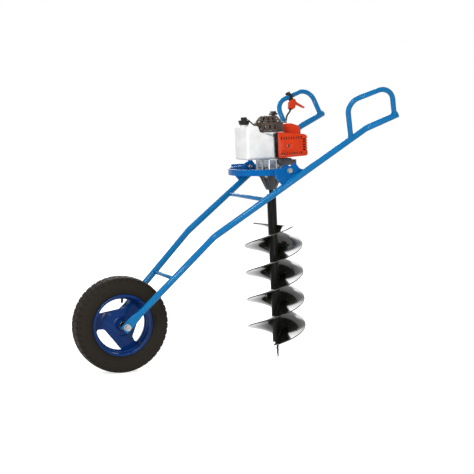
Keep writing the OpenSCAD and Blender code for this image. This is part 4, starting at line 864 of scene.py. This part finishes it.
def ring_weld(shape, start, way, radius, point, along, tube_r, flat=False):
    """Bead round the end of a round bar that is welded on to a tube; it fills the gap under a flat end."""
    side = way.orthogonal().normalized()
    over = way.cross(side)
    up = (along * way.dot(along) - way).normalized()
    steps = 120
    # Where the bead lies in a gap, as shares of it: back along the bar, and in under its end
    back = 0.5
    under = 0.3
    line = []
    gaps = []
    for k in range(steps):
        turn = math.tau * k / steps
        out = side * math.cos(turn) + over * math.sin(turn)
        foot = reach_of_tube(start + out * radius, way, point, along, tube_r)
        gap = (tube_r - (foot - point).dot(up)) / -way.dot(up) if flat else 0
        line.append(foot - way * gap * back - out * gap * under)
        gaps.append(gap)
    add_bead(shape, line, True, gaps)


def bracket_weld(shape, side, face, point, along):
    """Bead along one face of a bracket plate, where it stands on its rail."""
    steps = 160
    above = PIVOT.z + 0.2
    first, last = BRACKET_FOOT
    line = []
    for k in range(steps):
        start = Vector((PIVOT.x + first + (last - first) * k / (steps - 1), side * face, above))
        line.append(reach_of_tube(start, Vector((0, 0, -1)), point, along, RAIL_R))
    add_bead(shape, line, False)


def frame_welds_shape():
    """Beads of the cross bars, the handle loops and the brackets, on both rails."""
    shape = new_shape()
    for side in (-1, 1):
        rail, loop = [[Vector((p.x, p.y * side, p.z)) for p in corners] for corners in (RAIL, LOOP)]
        runs = [(rail[i + 1] - rail[i]).normalized() for i in range(3)]
        for run, along in BARS:
            middle = rail[run] + runs[run] * along
            ring_weld(shape, Vector((middle.x, 0, middle.z)), Vector((0, side, 0)), BAR_R,
                      rail[run], runs[run], RAIL_R)
        for top, foot, run in LOOP_FEET:
            ring_weld(shape, loop[top], (loop[foot] - loop[top]).normalized(), LOOP_R,
                      rail[run], runs[run], RAIL_R, flat=True)
        for face in BRACKET_FACES:
            bracket_weld(shape, side, face, rail[1], runs[1])
    return shape


class AUGER_OT_welds(bpy.types.Operator):
    """Rippled weld beads where the frame's tubes, bars and plates join"""

    bl_idname = "auger.welds"
    bl_label = "Welds"

    def execute(self, context):
        make_piece("frame_welds", frame_welds_shape(), "frame_paint", "frame", sharp=180)
        return {"FINISHED"}


# Fasteners

def add_hex(shape, place, flats, low, high, both=False):
    """Hexagon along Z with the turned chamfer of a bolt head; a nut has it at both ends."""
    steps = 72
    apothem = flats / 2
    face = 0.97 * apothem
    bore = 0.5 * apothem
    slope = math.tan(math.radians(30))
    rise = 1 if high > low else -1

    def ring(radius_of, height_of):
        row = []
        for k in range(steps):
            turn = math.tau * k / steps
            corner = apothem / math.cos((turn + math.pi / 6) % (math.pi / 3) - math.pi / 6)
            row.append(place @ polar(radius_of(corner), turn, height_of(corner)))
        return row

    def drop(corner):
        return (corner - face) * slope * rise

    rows = [ring(lambda c: bore, lambda c: low)]
    if both:
        rows.append(ring(lambda c: face, lambda c: low))
        rows.append(ring(lambda c: c, lambda c: low + drop(c)))
    else:
        rows.append(ring(lambda c: c, lambda c: low))
    rows.append(ring(lambda c: c, lambda c: high - drop(c)))
    rows.append(ring(lambda c: face, lambda c: high))
    rows.append(ring(lambda c: bore, lambda c: high))
    add_grid(shape, rows)


def add_shank(shape, place, radius, low, high):
    """Plain part of a bolt, with a small step where its thread begins."""
    step = 0.3 * MM
    add_turned(shape, [(radius - step, low), (radius, low), (radius, high)], place, 48)


def add_thread(shape, place, radius, low, high):
    """Threaded end of a bolt, with a chamfered tip at its high end."""
    pitch = sizes().thread_pitch
    depth = 0.6 * pitch
    tip_long = 0.8 * MM
    tip_deep = 0.9 * MM
    steps = 36
    rows_per_pitch = 6
    count = max(4, round(abs(high - low) / pitch * rows_per_pitch))
    rows = []
    for i in range(count + 1):
        height = low + (high - low) * i / count
        tip = tip_deep * (1 - min(1, abs(high - height) / tip_long))
        row = []
        for k in range(steps):
            phase = (height / pitch - k / steps) % 1
            r = radius - depth * abs(2 * phase - 1) - tip
            row.append(place @ polar(r, math.tau * k / steps, height))
        rows.append(row)
    add_grid(shape, rows)


class AUGER_OT_fasteners(bpy.types.Operator):
    """Chamfered bolt heads and nuts with threaded ends, at the axle and the pivots"""

    bl_idname = "auger.fasteners"
    bl_label = "Bolts and nuts"

    def execute(self, context):
        axle_r = 7.5 * MM
        axle_flats = 23.25 * MM
        axle_head = 9.75 * MM
        low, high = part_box("axle_bolt")
        nut_low, nut_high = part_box("axle_nut")
        bolt = new_shape()
        add_shank(bolt, WHEEL, axle_r, nut_low.y, high.y - axle_head)
        add_hex(bolt, WHEEL, axle_flats, high.y - axle_head, high.y)
        add_thread(bolt, WHEEL, axle_r, nut_low.y, low.y)
        make_piece("axle_bolt_threaded", bolt, "zinc_steel", "frame", ["axle_bolt"], sharp=28)
        nut = new_shape()
        add_hex(nut, WHEEL, axle_flats, nut_high.y, nut_low.y, both=True)
        make_piece("axle_nut_chamfered", nut, "zinc_steel", "frame", ["axle_nut"], sharp=28)

        pivot_r = 6 * MM
        pivot_flats = 18 * MM
        pivot_head = 7.68 * MM
        pivot_nut = 9.6 * MM
        thread_end = 3 * MM
        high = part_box("pivot_bolts")[1]
        nut_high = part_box("pivot_nuts")[1]
        inner = nut_high.y - pivot_nut
        bolts = new_shape()
        nuts = new_shape()
        for side in (-1, 1):
            add_shank(bolts, BOLT, pivot_r, side * inner, side * (high.y - pivot_head))
            add_hex(bolts, BOLT, pivot_flats, side * (high.y - pivot_head), side * high.y)
            add_thread(bolts, BOLT, pivot_r, side * inner, side * (inner - thread_end))
            add_hex(nuts, BOLT, pivot_flats, side * nut_high.y, side * inner, both=True)
        make_piece("pivot_bolts_threaded", bolts, "zinc_steel", "frame", ["pivot_bolts"], sharp=28)
        make_piece("pivot_nuts_chamfered", nuts, "zinc_steel", "frame", ["pivot_nuts"], sharp=28)
        return {"FINISHED"}


# Carried-over pieces

# Width of the eased edges of the moulded, cast and cut pieces; the others have a smaller one
EASED = {
    "fuel_tank": 3 * MM, "muffler_guard": 1.4 * MM, "cylinder_cover": 1.6 * MM,
    "air_cleaner_cover": 1.6 * MM, "fan_housing": 0.8 * MM, "starter_housing": 0.8 * MM,
    "gearbox_housing": 1 * MM, "clutch_housing": 0.8 * MM, "crankcase": 1 * MM,
    "throttle_body": 1 * MM, "fuel_cap": 0.8 * MM, "left_bracket": 0.8 * MM,
    "right_bracket": 0.8 * MM, "cradle_hoop": 0.8 * MM, "cradle_plate": 0.8 * MM,
    "wheel_disc": 0.8 * MM,
}
EASED_LEAST = 0.4 * MM
# Pieces of the frame's slot that are plate and not tube; they get the frame's paint drawn darker as painted shade
PLATES_IN_PAINTED_SHADE = ("left_bracket", "right_bracket", "cradle_hoop", "cradle_plate")


class AUGER_OT_finishes(bpy.types.Operator):
    """Finish and eased edges of every piece that comes from the construction as it is"""

    bl_idname = "auger.finishes"
    bl_label = "Finishes"

    def execute(self, context):
        sharp_from = math.radians(30)
        ease_from = math.radians(35)
        for name, node in frame["nodes"].items():
            node.data.materials.clear()
            # Plates get painted shade: the frame's paint drawn darker
            node.data.materials.append(finish("plate_paint_with_painted_shade" if name in PLATES_IN_PAINTED_SHADE else SLOTS[name]))
            node.data.shade_smooth()
            node.data.set_sharp_from_angle(angle=sharp_from)
            joined = node.modifiers.new("joined_faces", "WELD")
            joined.merge_threshold = 0.002 * MM
            eased = node.modifiers.new("eased_edges", "BEVEL")
            eased.width = EASED.get(name, EASED_LEAST)
            eased.segments = 2
            eased.limit_method = "ANGLE"
            eased.angle_limit = ease_from
            eased.harden_normals = True
        return {"FINISHED"}


# Stage

def white_rays(tree):
    """One for rays of the camera and of reflections and glass, nought for light that falls on the object."""
    rays = add_node(tree, "ShaderNodeLightPath").outputs
    seen = add_node(tree, "ShaderNodeMath", {0: rays["Is Camera Ray"], 1: rays["Is Glossy Ray"]},
                    operation="MAXIMUM").outputs["Value"]
    return add_node(tree, "ShaderNodeMath", {0: seen, 1: rays["Is Transmission Ray"]},
                    operation="MAXIMUM").outputs["Value"]


def white_surround():
    """World that looks white and lights the object at a plain level."""
    world = bpy.data.worlds.new("white_surround")
    world.use_nodes = True
    tree = world.node_tree
    tree.nodes.clear()
    level = add_node(tree, "ShaderNodeMapRange",
                     {"Value": white_rays(tree), "To Min": SURROUND_LIGHT, "To Max": 1.0})
    sky = add_node(tree, "ShaderNodeBackground",
                   {"Color": (1, 1, 1, 1), "Strength": level.outputs["Result"]})
    add_node(tree, "ShaderNodeOutputWorld", {"Surface": sky.outputs["Background"]})
    return world


def white_paper():
    # White paper floor that keeps the shadow and glows to white where it is lit
    paper = bpy.data.materials.new("white_paper")
    paper.use_nodes = True
    tree = paper.node_tree
    tree.nodes.clear()
    matt = add_node(tree, "ShaderNodeBsdfDiffuse", {"Color": (0.8, 0.8, 0.8, 1)})
    level = add_node(tree, "ShaderNodeMapRange",
                     {"Value": white_rays(tree), "To Min": 0, "To Max": FLOOR_GLOW})
    glow = add_node(tree, "ShaderNodeEmission", {"Strength": level.outputs["Result"]})
    both = add_node(tree, "ShaderNodeAddShader", {0: matt.outputs["BSDF"], 1: glow.outputs["Emission"]})
    add_node(tree, "ShaderNodeOutputMaterial", {"Surface": both.outputs["Shader"]})
    return paper


def aim(thing, place, target):
    """Puts a lamp or a camera in the scene, looking at the target."""
    stand = bpy.data.objects.new(thing.name, thing)
    stand.location = place
    stand.rotation_euler = (target - place).to_track_quat("-Z", "Y").to_euler()
    bpy.context.scene.collection.objects.link(stand)
    return stand


class AUGER_OT_stage(bpy.types.Operator):
    """Pale floor, white surround, soft lamps and the camera"""

    bl_idname = "auger.stage"
    bl_label = "Stage and camera"

    def execute(self, context):
        scene = context.scene
        scene.view_settings.view_transform = "Standard"
        scene.world = white_surround()

        sides = 96
        mesh = bpy.data.meshes.new("floor")
        mesh.from_pydata([polar(FLOOR_R, math.tau * k / sides, FLOOR_Z) for k in range(sides)], [],
                         [tuple(range(sides))])
        mesh.materials.append(white_paper())
        ground = bpy.data.objects.new("floor", mesh)
        scene.collection.objects.link(ground)

        for name, place, size, power in LAMPS:
            lamp = bpy.data.lights.new(name, "AREA")
            lamp.size = size
            lamp.energy = power
            aim(lamp, place, LAMPS_AIM)

        lens = bpy.data.cameras.new("camera")
        lens.lens = sizes().lens
        lens.sensor_width = SENSOR_MM
        scene.camera = aim(lens, CAMERA_PLACE, CAMERA_AIM)
        return {"FINISHED"}


class AUGER_PT_parts(bpy.types.Panel):
    """Sizes, colours and steps of the earth auger"""

    bl_idname = "AUGER_PT_parts"
    bl_label = "Earth auger"
    bl_space_type = "VIEW_3D"
    bl_region_type = "UI"
    bl_category = "Earth auger"

    def draw(self, context):
        for group in (context.scene.auger_sizes, context.scene.auger_colours):
            for name in group.__annotations__:
                self.layout.prop(group, name)
        for step in STEPS:
            self.layout.operator(step.bl_idname)


GROUPS = (AugerSizes, AugerColours)
STEPS = (AUGER_OT_stage, AUGER_OT_lines, AUGER_OT_finishes, AUGER_OT_tyre, AUGER_OT_seals, AUGER_OT_auger,
         AUGER_OT_painted_shade, AUGER_OT_welds, AUGER_OT_fasteners)


def register():
    for item in (*GROUPS, *STEPS, AUGER_PT_parts):
        bpy.utils.register_class(item)
    bpy.types.Scene.auger_sizes = PointerProperty(type=AugerSizes)
    bpy.types.Scene.auger_colours = PointerProperty(type=AugerColours)


def unregister():
    del bpy.types.Scene.auger_colours
    del bpy.types.Scene.auger_sizes
    for item in reversed((*GROUPS, *STEPS, AUGER_PT_parts)):
        bpy.utils.unregister_class(item)


def main():
    register()
    for step in STEPS:
        group, name = step.bl_idname.split(".")
        getattr(getattr(bpy.ops, group), name)()


if __name__ == "__main__":
    main()
